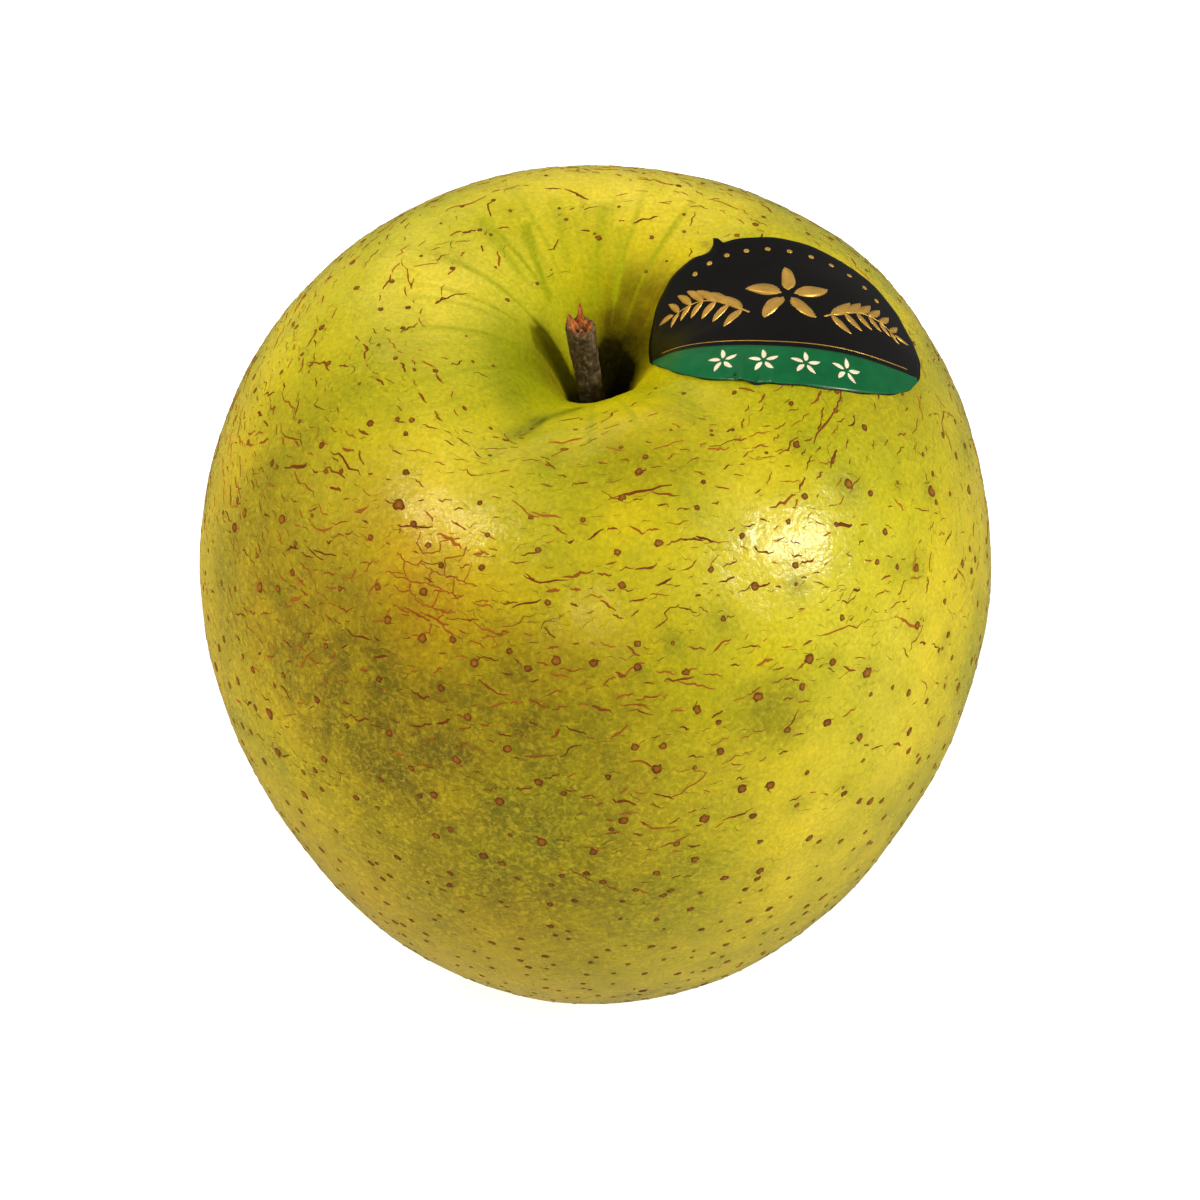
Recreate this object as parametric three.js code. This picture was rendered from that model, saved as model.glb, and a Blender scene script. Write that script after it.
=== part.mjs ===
// An apple standing on its feet: a yellow-green fruit with a deep stem cavity, a woody broken stem,
// the dried calyx in the basin underneath, and a thin oval label stuck over the right shoulder.
// Millimetres, +Z up. The origin is on the surface that the apple stands on, under its middle,
// the label is on the +X side and the fold in the lip of the cavity faces -Y.
import * as THREE from "three";

// Driving dimensions of the fruit
const RADIUS = 45; // body at its widest ring
const HEIGHT = 87; // feet to the lip of the stem cavity
const EQUATOR_Z = 50.5; // height of the widest ring
const LIP_RADIUS = 20.5; // ring of the highest points round the cavity
const CAVITY_DEPTH = 17;
const THROAT_RADIUS = 1.9; // where the stem goes into the flesh
const FOOT_RADIUS = 15; // ring that the apple stands on
const BASIN_DEPTH = 8.6;
const BASIN_RADIUS = 2.4; // where the calyx goes into the flesh
const SOCKET_DEPTH = 2.6; // the holes for the stem's root and the calyx's base
const FOOT_COUNT = 5;
const FOOT_AZIMUTH = 54; // degrees to the middle of the first foot
const FOOT_REACH = 11; // half length, along the profile, of the dip between two feet
const FOOT_RISE = 1.2; // how far the base ring lifts between two feet
const FOOT_FLAT = 0.35; // how much of each foot is pressed flat
const PLAY = 0.35; // clear space between two pieces

// How the apple is out of true. Shares of the radius come in along the profile from start, over length.
const OVAL = { azimuth: 10, share: 0.003, start: -4, length: 20 };
const BELLY = { azimuth: 255, share: 0.014, start: 20, length: 40 }; // fuller lower flank on one side
const DEPTH_OVER_WIDTH = 1.012;
const BACK_SLOPE = 0.035; // rise of the crown for each millimetre towards the back
const SIDE_SLOPE = -0.004; // and for each millimetre to the right
const CROWN_LEAN = 0.004; // sideways run for each millimetre over the level that stays in place
const LEVEL_Z = 40;

// How full the profile is: lengths of the handles of its four curves
const SHOULDER_OUT = 12.5;
const SHOULDER_UP = 19.5;
const FLANK_DOWN = 16;
const FLANK_OUT = 19;
const LIP_IN = 13;
const THROAT_UP = 9;
const THROAT_OUT = 2.2;
const FOOT_IN = 6.5;
const BASIN_OUT = 5.2;
const BASIN_DOWN = 0.4;

// Driving dimensions of the stem, the calyx and the label
const STEM_RADIUS = 1.45;
const STEM_FLARE = 0.2; // extra radius at the broken top
const STEM_TOP_Z = 84.2;
const STEM_LEAN = 0.13; // sideways run for each millimetre of height
const CRATER_DEPTH = 0.6; // hollow in the middle of the broken top
const BARK_RIDGES = { count: 3, share: 0.04, twist: 0.4, fadeIn: 3 };
const CALYX_RADIUS = 3; // the ring that the sepals stand on
const CALYX_TIP_Z = 3.6;
const CALYX_NOTCH_Z = 6.3;
const CALYX_GAP = 0.1; // extra clear space over the ring
const SEPAL_COUNT = 5;
const SEPAL_SHARPNESS = 1.3; // 1 is a plain wave, more is more pointed
const SEPAL_FLARE = 0.9; // how far the tips curl outwards
const LABEL_LENGTH = 33.8;
const LABEL_WIDTH = 24;
const LABEL_SQUARENESS = 1.85; // 2 is an ellipse, less is more pointed
const LABEL_TURN = -4.5; // degrees about the label's middle
const LABEL_SHIFT = -0.35; // middle of the label along the profile, from the lip
const LABEL_THICKNESS = 0.4;

// Facets
const FRUIT_SEGMENTS = 60;
const BASIN_ROWS = 9;
const FLANK_ROWS = 17;
const SHOULDER_ROWS = 13;
const CAVITY_ROWS = 13;
const FLANK_EASE = 1.35; // draws the rows of the flank together towards the feet
const STEM_SEGMENTS = 20;
const CALYX_SEGMENTS = 40;
const LABEL_SEGMENTS = 44;
const LABEL_RINGS = 6;
const CROWN_SAMPLES = 200; // for each of the two curves that the label lies on
const SLOPE_STEP = 0.2; // distance over which the slope of the skin is measured

// Folds and swellings round the lip of the cavity: azimuth and half width in degrees,
// height in millimetres, then middle and half length along the profile, outwards from the lip.
const LIP_FORMS = [
  { azimuth: 254, spread: 42, height: -1.5, middle: -4, reach: 13 }, // the front of the lip dips
  { azimuth: 238, spread: 11, height: -1.3, middle: -5, reach: 9 }, // fold at the front left
  { azimuth: 312, spread: 15, height: -1.6, middle: -5, reach: 12 }, // valley that leaves under the label
  { azimuth: 278, spread: 18, height: 0.8, middle: -3, reach: 9 }, // lobe between those two
  { azimuth: 15, spread: 40, height: 0.7, middle: 22, reach: 14 }, // full right shoulder
];
const MOUTH = { azimuth: 248, spread: 38, height: 3.4, middle: -7, reach: 10 }; // wider to the front left
const THROAT_LENGTH = 6; // stretch over the stem's socket where the folds fade in

// Pieces that stick out of the broken top of the stem
const SPLINTERS = [
  { azimuth: 95, spread: 20, height: 1.9 },
  { azimuth: 165, spread: 26, height: 0.9 },
];

const FLOOR_Z = HEIGHT - CAVITY_DEPTH;
const CALYX_BASE_Z = BASIN_DEPTH - PLAY - CALYX_GAP;

// The stem's shaft: share of its radius by height over the cavity's floor
const STEM_SHAFT = [
  { share: 1, above: 0 },
  { share: 0.98, above: 3 },
  { share: 0.96, above: 6 },
  { share: 1, above: 9 },
];

// Its broken top, from the bark over the rim into the crater: inset from the flared radius,
// drop below the top, and whether the splinters stand there
const STEM_BREAK = [
  { inset: 0.05, drop: 2, rim: 0 },
  { inset: 0, drop: 0.8, rim: 0 },
  { inset: 0.1, drop: 0, rim: 1 },
  { inset: 0.6, drop: 0.1, rim: 1 },
  { inset: 0.95, drop: 0.7, rim: 0 },
];

// The calyx from the middle of its cup over the sepals and the ring to its plug:
// radius, height, and how far that row takes part in a sepal's drop
const CALYX_ROWS = [
  { rho: 0, z: CALYX_BASE_Z - 1.1, tip: 0 },
  { rho: 1.4, z: CALYX_BASE_Z - 1.2, tip: 0 },
  { rho: 1.5, z: CALYX_BASE_Z - 1.9, tip: 0.5 },
  { rho: 2.1, z: CALYX_NOTCH_Z, tip: 1 },
  { rho: 2.8, z: CALYX_NOTCH_Z + 0.1, tip: 1 },
  { rho: 2.5, z: CALYX_BASE_Z - 1.5, tip: 0.5 },
  { rho: CALYX_RADIUS, z: CALYX_BASE_Z - 0.7, tip: 0 },
  { rho: CALYX_RADIUS - 0.2, z: CALYX_BASE_Z, tip: 0 },
  { rho: BASIN_RADIUS - PLAY, z: CALYX_BASE_Z, tip: 0 },
  { rho: BASIN_RADIUS - PLAY, z: BASIN_DEPTH + SOCKET_DEPTH - PLAY, tip: 0 },
  { rho: 0, z: BASIN_DEPTH + SOCKET_DEPTH - PLAY, tip: 0 },
];

// A bell curve, 1 in the middle and nearly 0 past twice its reach.
function bell(distance, reach) {
  return Math.exp(-((distance / reach) ** 2));
}

// Degrees from one azimuth to another, between -180 and 180.
function turnFrom(azimuth, degrees) {
  const turn = THREE.MathUtils.radToDeg(azimuth) - degrees;
  return THREE.MathUtils.euclideanModulo(turn + 180, 360) - 180;
}

// Rows of the fruit's profile from the calyx's socket out over the foot, up the flank,
// over the shoulder and down to the stem's socket. Each row has its radius, its height
// and its distance q along the profile from the lip, outwards.
function fruitRows() {
  const at = (rho, z) => new THREE.Vector2(rho, z);
  const basin = new THREE.CubicBezierCurve(
    at(BASIN_RADIUS, BASIN_DEPTH),
    at(BASIN_RADIUS + BASIN_OUT, BASIN_DEPTH - BASIN_DOWN),
    at(FOOT_RADIUS - FOOT_IN, 0),
    at(FOOT_RADIUS, 0),
  );
  const flank = new THREE.CubicBezierCurve(
    at(FOOT_RADIUS, 0),
    at(FOOT_RADIUS + FLANK_OUT, 0),
    at(RADIUS, EQUATOR_Z - FLANK_DOWN),
    at(RADIUS, EQUATOR_Z),
  );
  const shoulder = new THREE.CubicBezierCurve(
    at(RADIUS, EQUATOR_Z),
    at(RADIUS, EQUATOR_Z + SHOULDER_UP),
    at(LIP_RADIUS + SHOULDER_OUT, HEIGHT),
    at(LIP_RADIUS, HEIGHT),
  );
  const cavity = new THREE.CubicBezierCurve(
    at(LIP_RADIUS, HEIGHT),
    at(LIP_RADIUS - LIP_IN, HEIGHT),
    at(THROAT_RADIUS + THROAT_OUT, FLOOR_Z + THROAT_UP),
    at(THROAT_RADIUS, FLOOR_Z),
  );
  const shoulderLength = shoulder.getLength();
  const steps = (curve, count, start, ease = 1) =>
    Array.from({ length: count + 1 }, (_, i) => {
      const share = (i / count) ** ease;
      const p = curve.getPointAt(share);
      return { rho: p.x, z: p.y, q: start - curve.getLength() * share };
    });
  const footQ = flank.getLength() + shoulderLength;
  const basinQ = footQ + basin.getLength();
  const cavityQ = -cavity.getLength();
  return {
    footQ,
    cavityQ,
    rows: [
      { rho: 0, z: BASIN_DEPTH + SOCKET_DEPTH, q: basinQ },
      { rho: BASIN_RADIUS, z: BASIN_DEPTH + SOCKET_DEPTH, q: basinQ },
      ...steps(basin, BASIN_ROWS, basinQ),
      ...steps(flank, FLANK_ROWS, footQ, FLANK_EASE).slice(1),
      ...steps(shoulder, SHOULDER_ROWS, shoulderLength).slice(1),
      ...steps(cavity, CAVITY_ROWS, 0).slice(1),
      { rho: THROAT_RADIUS, z: FLOOR_Z - SOCKET_DEPTH, q: cavityQ },
      { rho: 0, z: FLOOR_Z - SOCKET_DEPTH, q: cavityQ },
    ],
    crown: [
      ...steps(cavity, CROWN_SAMPLES, 0).reverse(),
      ...steps(shoulder, CROWN_SAMPLES, shoulderLength).reverse().slice(1),
    ],
  };
}

const FRUIT = fruitRows();

// The apple isn't quite true: it is a little deeper than wide, its back shoulder stands higher
// and its crown leans to the right.
function lopsided(point) {
  const y = point.y * DEPTH_OVER_WIDTH;
  const top = THREE.MathUtils.clamp(point.z / HEIGHT, 0, 1) ** 2;
  const z = point.z + top * (BACK_SLOPE * y + SIDE_SLOPE * point.x);
  return new THREE.Vector3(point.x + (z - LEVEL_Z) * CROWN_LEAN, y, z);
}

// Height of a fold or swelling at a place on the skin: a bell curve round it times one along it.
function formAt(form, q, azimuth) {
  return form.height * bell(turnFrom(azimuth, form.azimuth), form.spread) * bell(q - form.middle, form.reach);
}

// Share from 0 to 1 that comes in along the profile from start, over length.
function comingIn(q, start, length) {
  return THREE.MathUtils.clamp((q - start) / length, 0, 1);
}

// A point of the fruit's skin. The round profile gets a faint oval, a fuller belly,
// the folds of the lip and the feet, and is pressed flat where it stands.
function skinPoint({ rho, z, q }, azimuth) {
  const inside = comingIn(q, FRUIT.cavityQ, THROAT_LENGTH);
  const belly = Math.max(0, Math.cos(azimuth - THREE.MathUtils.degToRad(BELLY.azimuth)));
  const oval = Math.cos(2 * (azimuth - THREE.MathUtils.degToRad(OVAL.azimuth)));
  const fuller =
    OVAL.share * oval * comingIn(q, OVAL.start, OVAL.length) +
    BELLY.share * belly * comingIn(q, BELLY.start, BELLY.length);
  const radius = rho * (1 + fuller) + formAt(MOUTH, q, azimuth) * inside;
  let height = z;
  for (const form of LIP_FORMS) {
    height += formAt(form, q, azimuth) * inside;
  }
  const foot = bell(q - FRUIT.footQ, FOOT_REACH) * Math.min(1, rho / FOOT_RADIUS) ** 2;
  const lift = 0.5 - 0.5 * Math.cos(FOOT_COUNT * (azimuth - THREE.MathUtils.degToRad(FOOT_AZIMUTH)));
  height += FOOT_RISE * foot * lift;
  const point = lopsided(new THREE.Vector3(radius * Math.cos(azimuth), radius * Math.sin(azimuth), height));
  point.z = Math.max(0, point.z - FOOT_FLAT);
  return point;
}

// A closed body turned from a profile, with each vertex moved to where place puts it.
function turned(rows, segments, place) {
  const profile = rows.map((row) => new THREE.Vector2(row.rho, row.z));
  const geometry = new THREE.LatheGeometry(profile, segments);
  const position = geometry.attributes.position;
  for (let i = 0; i < position.count; i += 1) {
    const step = Math.floor(i / rows.length) % segments;
    const point = place(rows[i % rows.length], (step / segments) * 2 * Math.PI);
    position.setXYZ(i, point.x, point.y, point.z);
  }
  geometry.deleteAttribute("uv");
  geometry.computeVertexNormals();
  return geometry;
}

// The fruit is one body from its skin to its core.
function fruitGeometry() {
  return turned(FRUIT.rows, FRUIT_SEGMENTS, skinPoint);
}

// A leaning woody stem whose root stands in the throat of the cavity. Its top is broken off:
// a shallow crater inside a rim that splinters stick out of.
function stemGeometry() {
  const rootZ = FLOOR_Z - SOCKET_DEPTH + PLAY;
  const topRadius = STEM_RADIUS + STEM_FLARE;
  const rows = [
    { rho: 0, z: rootZ, rim: 0 },
    { rho: STEM_RADIUS, z: rootZ, rim: 0 },
    ...STEM_SHAFT.map(({ share, above }) => ({ rho: STEM_RADIUS * share, z: FLOOR_Z + above, rim: 0 })),
    ...STEM_BREAK.map(({ inset, drop, rim }) => ({ rho: topRadius - inset, z: STEM_TOP_Z - drop, rim })),
    { rho: 0, z: STEM_TOP_Z - CRATER_DEPTH, rim: 0 },
  ];
  return turned(rows, STEM_SEGMENTS, ({ rho, z, rim }, azimuth) => {
    const above = Math.max(0, z - FLOOR_Z);
    const wave = Math.sin(BARK_RIDGES.count * azimuth + BARK_RIDGES.twist * above);
    const ridges = 1 + BARK_RIDGES.share * wave * Math.min(1, above / BARK_RIDGES.fadeIn);
    const splinters = SPLINTERS.reduce(
      (sum, splinter) => sum + splinter.height * bell(turnFrom(azimuth, splinter.azimuth), splinter.spread),
      0,
    );
    const x = rho * ridges * Math.cos(azimuth) - STEM_LEAN * above;
    const y = rho * ridges * Math.sin(azimuth);
    return lopsided(new THREE.Vector3(x, y, z + rim * splinters));
  });
}

// The dried end of the flower: a cup on a short plug, with its rim drawn out into sepals
// that hang down and curl outwards.
function calyxGeometry() {
  return turned(CALYX_ROWS, CALYX_SEGMENTS, ({ rho, z, tip }, azimuth) => {
    const sepal = (0.5 + 0.5 * Math.cos(SEPAL_COUNT * azimuth)) ** SEPAL_SHARPNESS;
    const drop = (CALYX_NOTCH_Z - CALYX_TIP_Z) * sepal * tip;
    const radius = rho + SEPAL_FLARE * sepal * tip * tip;
    return lopsided(new THREE.Vector3(radius * Math.cos(azimuth), radius * Math.sin(azimuth), z - drop));
  });
}

// Radius, height and distance from the lip where the crown's round profile passes a value of one of them.
function crownAt(name, value) {
  const crown = FRUIT.crown;
  const next = Math.max(
    1,
    crown.findIndex((row) => row[name] >= value),
  );
  const [a, b] = [crown[next - 1], crown[next]];
  const t = (value - a[name]) / (b[name] - a[name]);
  return {
    rho: THREE.MathUtils.lerp(a.rho, b.rho, t),
    z: THREE.MathUtils.lerp(a.z, b.z, t),
    q: THREE.MathUtils.lerp(a.q, b.q, t),
  };
}

// A point above the skin of the crown, over the plan position x, y.
function overSkin(x, y, lift) {
  const point = (px, py) => skinPoint(crownAt("rho", Math.hypot(px, py)), Math.atan2(py, px));
  const across = point(x + SLOPE_STEP, y).sub(point(x - SLOPE_STEP, y));
  const along = point(x, y + SLOPE_STEP).sub(point(x, y - SLOPE_STEP));
  const normal = across.cross(along).normalize();
  return point(x, y).addScaledVector(normal, lift);
}

// A thin oval sheet that lies over the lip and the right shoulder. Its long axis follows the
// profile, and its short axis is straight in plan, as a sheet bends one way only.
function labelGeometry() {
  const rings = Array.from({ length: LABEL_RINGS + 1 }, (_, i) => i / LABEL_RINGS);
  const rows = [
    ...rings.map((share) => ({ rho: share, z: 0, lift: PLAY })),
    ...rings.reverse().map((share) => ({ rho: share, z: 1, lift: PLAY + LABEL_THICKNESS })),
  ];
  const turn = THREE.MathUtils.degToRad(LABEL_TURN);
  const power = 2 / LABEL_SQUARENESS;
  return turned(rows, LABEL_SEGMENTS, ({ rho, lift }, azimuth) => {
    const c = Math.cos(azimuth);
    const s = Math.sin(azimuth);
    const u = rho * (LABEL_LENGTH / 2) * Math.sign(c) * Math.abs(c) ** power;
    const v = rho * (LABEL_WIDTH / 2) * Math.sign(s) * Math.abs(s) ** power;
    const along = LABEL_SHIFT + u * Math.cos(turn) - v * Math.sin(turn);
    const across = u * Math.sin(turn) + v * Math.cos(turn);
    return overSkin(crownAt("q", along).rho, across, lift);
  });
}

// Adds one named piece with its colour and finish.
function addPiece(group, name, geometry, color, roughness) {
  const mesh = new THREE.Mesh(geometry, new THREE.MeshStandardMaterial({ color, roughness, metalness: 0 }));
  mesh.name = name;
  group.add(mesh);
}

const apple = new THREE.Group();
addPiece(apple, "fruit", fruitGeometry(), 0xb7ae2f, 0.38);
addPiece(apple, "stem", stemGeometry(), 0x4a3c2c, 0.85);
addPiece(apple, "calyx", calyxGeometry(), 0x5a4a30, 0.9);
addPiece(apple, "label", labelGeometry(), 0x14110f, 0.35);

export default apple;
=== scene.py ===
"""An apple standing on its feet: a tall yellow-green fruit with corky dots and russet cracks, a deep
stem cavity with a folded lip, a short broken stem, a dried calyx underneath and an oval label.

The skin is worked out from the same named sizes as the solids, in millimetres, and turned to metres
when a mesh is made. Every place on the skin is given by two numbers: q, the distance along the
profile from the lip of the cavity, outwards and down, and the azimuth about +Z.
"""

from __future__ import annotations

import logging
from collections.abc import Callable
from dataclasses import dataclass
from enum import Enum
from functools import partial

import bpy
import numpy as np
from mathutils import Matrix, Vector

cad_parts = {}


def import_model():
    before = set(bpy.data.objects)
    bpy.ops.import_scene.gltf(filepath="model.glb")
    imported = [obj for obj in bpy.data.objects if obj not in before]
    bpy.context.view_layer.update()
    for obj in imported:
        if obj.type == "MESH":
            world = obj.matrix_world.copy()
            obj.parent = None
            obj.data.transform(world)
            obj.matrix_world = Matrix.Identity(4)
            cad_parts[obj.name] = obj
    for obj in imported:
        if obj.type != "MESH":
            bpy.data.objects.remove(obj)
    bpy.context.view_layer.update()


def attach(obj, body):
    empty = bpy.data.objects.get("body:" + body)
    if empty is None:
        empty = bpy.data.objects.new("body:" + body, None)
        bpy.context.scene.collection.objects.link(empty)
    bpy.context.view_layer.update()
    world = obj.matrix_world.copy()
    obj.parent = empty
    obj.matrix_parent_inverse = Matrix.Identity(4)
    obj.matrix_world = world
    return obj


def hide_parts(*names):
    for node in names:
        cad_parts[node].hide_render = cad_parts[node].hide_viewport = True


LOG = logging.getLogger("apple")
MM = 0.001
TRIES_A_PLACE = 14

Array = np.ndarray
Body = tuple[Array, list]
Place = Callable[[Array, Array, Array], Array]
Share = Callable[[Array, Array], Array]
Material = bpy.types.Material
Node = bpy.types.Node
Piece = bpy.types.Object
Socket = bpy.types.NodeSocket
Tree = bpy.types.NodeTree


class Slot(Enum):
    """The record's material slots."""

    SKIN = "apple_skin"
    WOOD = "stem_wood"
    SEPAL = "dried_sepal"
    FILM = "label_film"


class Tint(Enum):
    """What a vertex of the skin is tinted with: attributes from 0 to 1, the deep one to 2.
    The deep one is painted shade and the pale one painted light; the olive, halo and moss ones are
    skin colours that are also laid as painted shade.
    """

    AMBER = "amber"
    # olive skin tone, also laid as painted shade in the cavity, under the front lip and on the lower left
    OLIVE_AND_SHADE = "olive"
    GREEN = "green"
    # painted light: a paler yellow where the lamps fall hardest and where the floor throws light up
    PAINTED_LIGHT = "pale"
    # painted shade: near black in the throat of the cavity and the basin, dark on the cavity's shaded wall
    # and in the fold under its front lip
    DEEP_SHADE = "deep"
    # dark green round the corky pores, and painted shade on the cavity's left wall and in the fold under its
    # front lip
    HALO = "halo"
    # green streaks down the cavity's wall, and painted shade in its creases and where the stem's shadow
    # falls
    MOSS_AND_SHADE = "moss"
    FLECK = "fleck"
    WALL = "wall"


# Curves, bodies and pieces


def bell(distance: Array, reach: float) -> Array:
    """Returns a bell curve: 1 in the middle and nearly 0 past twice its reach."""
    return np.exp(-((distance / reach) ** 2))


def turn_from(azimuth: Array, degrees: float) -> Array:
    """Returns the degrees from one azimuth to another, between -180 and 180."""
    return (np.degrees(azimuth) - degrees + 180.0) % 360.0 - 180.0


def ramp(value: Array, start: float, length: float) -> Array:
    """Returns 0 up to the start, 1 from a length past it, and a straight rise between."""
    return np.clip((value - start) / length, 0.0, 1.0)


def circle(count: int) -> Array:
    """Returns angles in radians, evenly spaced round a circle from 0 on."""
    return np.linspace(0.0, 2 * np.pi, count, endpoint=False)


def polar(radius: Array, azimuth: Array, z: Array) -> Array:
    """Returns points by their distance from the axis, azimuth in radians and height."""
    return np.stack(np.broadcast_arrays(radius * np.cos(azimuth), radius * np.sin(azimuth), z), axis=-1)


def linear(hex_code: str) -> tuple[float, float, float, float]:
    """Turns an sRGB hex colour to linear.

    Args:
        hex_code: six hexadecimal digits after a hash sign.

    Returns:
        Linear red, green and blue, and an alpha of 1.
    """
    srgb = np.array([int(hex_code[i : i + 2], 16) for i in (1, 3, 5)]) / 255.0
    value = np.where(srgb <= 0.04045, srgb / 12.92, ((srgb + 0.055) / 1.055) ** 2.4)
    return (float(value[0]), float(value[1]), float(value[2]), 1.0)


def bezier(start: tuple, first: tuple, second: tuple, end: tuple, count: int = 600) -> Array:
    """Samples a cubic Bezier curve.

    Args:
        start: its first point.
        first: the handle of the first point.
        second: the handle of the last point.
        end: its last point.
        count: how many samples.

    Returns:
        Points, one a row: (1-t)^3 start + 3(1-t)^2 t first + 3(1-t) t^2 second + t^3 end.
    """
    t = np.linspace(0.0, 1.0, count)[:, None]
    p, a, b, r = (np.array(point, dtype=float) for point in (start, first, second, end))
    return (1 - t) ** 3 * p + 3 * (1 - t) ** 2 * t * a + 3 * (1 - t) * t**2 * b + t**3 * r


def closed_lofts(rings: Array, tips: Array) -> Body:
    """Joins rings of points to closed bodies, each with a point at both ends.

    Along the rings times round a ring is the outward direction, so rings that are counter-clockwise
    seen from above run downwards on an outside.

    Args:
        rings: points by body, ring, place in the ring and axis.
        tips: the two end points by body, end and axis.

    Returns:
        All vertices, one a row, and all faces.
    """
    bodies, rows, columns, _ = rings.shape
    stride = rows * columns + 2
    points = np.concatenate([rings.reshape(bodies, rows * columns, 3), tips], axis=1).reshape(-1, 3)
    row, column = np.meshgrid(np.arange(rows - 1), np.arange(columns), indexing="ij")
    here = row * columns + column
    beside = row * columns + (column + 1) % columns
    quads = np.stack([here, here + columns, beside + columns, beside], axis=-1).reshape(-1, 4)
    turn = np.arange(columns)
    last = (rows - 1) * columns
    top = np.stack([np.full(columns, stride - 2), turn, (turn + 1) % columns], axis=-1)
    end = np.stack([last + turn, np.full(columns, stride - 1), last + (turn + 1) % columns], axis=-1)
    offsets = (np.arange(bodies) * stride)[:, None, None]
    faces = (quads[None] + offsets).reshape(-1, 4).tolist()
    faces += (np.concatenate([top, end])[None] + offsets).reshape(-1, 3).tolist()
    return points, faces


def joined(bodies: list[Body]) -> Body:
    """Joins the vertices and faces of several bodies to one list each."""
    points, faces, start = [], [], 0
    for body_points, body_faces in bodies:
        points.append(body_points)
        faces += [[start + index for index in face] for face in body_faces]
        start += len(body_points)
    return np.concatenate(points), faces


def closed_loft(rings: Array) -> Body:
    """Joins rings, by ring, place and axis, to one body with its end points amid the end rings."""
    return closed_lofts(rings[None], rings[[0, -1]].mean(axis=1)[None])


def make_piece(name: str, body: Body, material: Material) -> Piece:
    """Puts a mesh with its material into the scene, riding on the apple.

    Args:
        name: the piece's name.
        body: vertices in millimetres, and the vertex numbers of each face.
        material: its finish.

    Returns:
        The new object, at the origin.
    """
    points, faces = body
    mesh = bpy.data.meshes.new(name)
    mesh.from_pydata((points * MM).tolist(), [], faces)
    mesh.update()
    mesh.polygons.foreach_set("use_smooth", np.ones(len(mesh.polygons), dtype=bool))
    mesh.materials.append(material)
    piece = bpy.data.objects.new(name, mesh)
    bpy.context.scene.collection.objects.link(piece)
    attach(piece, "root")
    LOG.info("%s: %d vertices, %d faces", name, len(mesh.vertices), len(mesh.polygons))
    return piece


def mark(piece: Piece, name: str, values: Array) -> None:
    """Gives a piece's vertices a number each, which its material reads by name."""
    attribute = piece.data.attributes.new(name, "FLOAT", "POINT")
    attribute.data.foreach_set("value", np.ascontiguousarray(values, dtype=np.float32).ravel())


def settle(tree: Tree, node: Node, settings: dict) -> None:
    """Gives a node its settings.

    Args:
        tree: the node tree.
        node: the node.
        settings: a value, a hex colour or a socket to link by the name or number of an input; a value
            by the name of a property; and places with hex colours under "stops", for a ramp.
    """
    for key, value in settings.items():
        if key == "stops":
            elements = node.color_ramp.elements
            while len(elements) < len(value):
                elements.new(1.0)
            for element, (position, colour) in zip(elements, value):
                element.position = position
                element.color = linear(colour)
        elif isinstance(key, int) or key in node.inputs:
            if isinstance(value, Socket):
                tree.links.new(value, node.inputs[key])
            else:
                node.inputs[key].default_value = linear(value) if isinstance(value, str) else value
        else:
            setattr(node, key, value)


def add(tree: Tree, kind: str, settings: dict | None = None) -> Node:
    """Adds a node of a kind with its settings, as settle takes them."""
    node = tree.nodes.new(kind)
    settle(tree, node, settings or {})
    return node


def noise(
    tree: Tree, spot: Socket, size_mm: float, detail: float, roughness: float = 0.5, distortion: float = 0.0
) -> Socket:
    """Returns a noise from 0 to 1 with features of a size in millimetres."""
    settings = {"Vector": spot, "Scale": 1.0 / (size_mm * MM), "Detail": detail}
    settings |= {"Roughness": roughness, "Distortion": distortion}
    return add(tree, "ShaderNodeTexNoise", settings).outputs["Fac"]


def spread(
    tree: Tree, value: Socket, low: float, high: float, first: float = 0.0, last: float = 1.0
) -> Socket:
    """Returns a value whose stretch from low to high is spread from first to last, and cut off there."""
    settings = {"From Min": low, "From Max": high, "To Min": first, "To Max": last}
    return add(tree, "ShaderNodeMapRange", {"Value": value, **settings}).outputs["Result"]


def painted(tree: Tree, name: str) -> Socket:
    """Returns the number that the vertices carry under a name."""
    return add(tree, "ShaderNodeAttribute", {"attribute_name": name}).outputs["Fac"]


def reckoned(tree: Tree, operation: str, *values: Socket | float, clamp: bool = False) -> Socket:
    """Returns what an operation makes of sockets and numbers."""
    settings = {"operation": operation, "use_clamp": clamp, **dict(enumerate(values))}
    return add(tree, "ShaderNodeMath", settings).outputs[0]


def mixed(tree: Tree, share: Socket, first: Socket | str, second: Socket | str) -> Socket:
    """Returns two colours mixed by the second one's share."""
    return add(tree, "ShaderNodeMix", {"data_type": "RGBA", 0: share, 6: first, 7: second}).outputs[2]


def times(tree: Tree, colour: Socket | tuple, factor: Socket) -> Socket:
    """Returns a colour made lighter or darker by a factor."""
    return add(tree, "ShaderNodeVectorMath", {"operation": "MULTIPLY", 0: colour, 1: factor}).outputs[0]


def bumped(
    tree: Tree, height: Socket, depth_mm: float, strength: float = 1.0, over: Socket | None = None
) -> Socket:
    """Returns the normal of a bump of a depth in millimetres, laid over another normal if one is given."""
    settings = {"Strength": strength, "Distance": depth_mm * MM, "Height": height}
    if over is not None:
        settings["Normal"] = over
    return add(tree, "ShaderNodeBump", settings).outputs["Normal"]


def new_material(name: str) -> tuple[Material, Tree, Node, Socket]:
    """Starts a material with an empty tree.

    Args:
        name: what the real finish is.

    Returns:
        The material, its tree, its Principled BSDF, which is linked to the output, and the object's
        own coordinates.
    """
    material = bpy.data.materials.new(name)
    material.use_nodes = True
    tree = material.node_tree
    tree.nodes.clear()
    shader = add(tree, "ShaderNodeBsdfPrincipled")
    add(tree, "ShaderNodeOutputMaterial", {"Surface": shader.outputs["BSDF"]})
    return material, tree, shader, add(tree, "ShaderNodeTexCoord").outputs["Object"]


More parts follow.
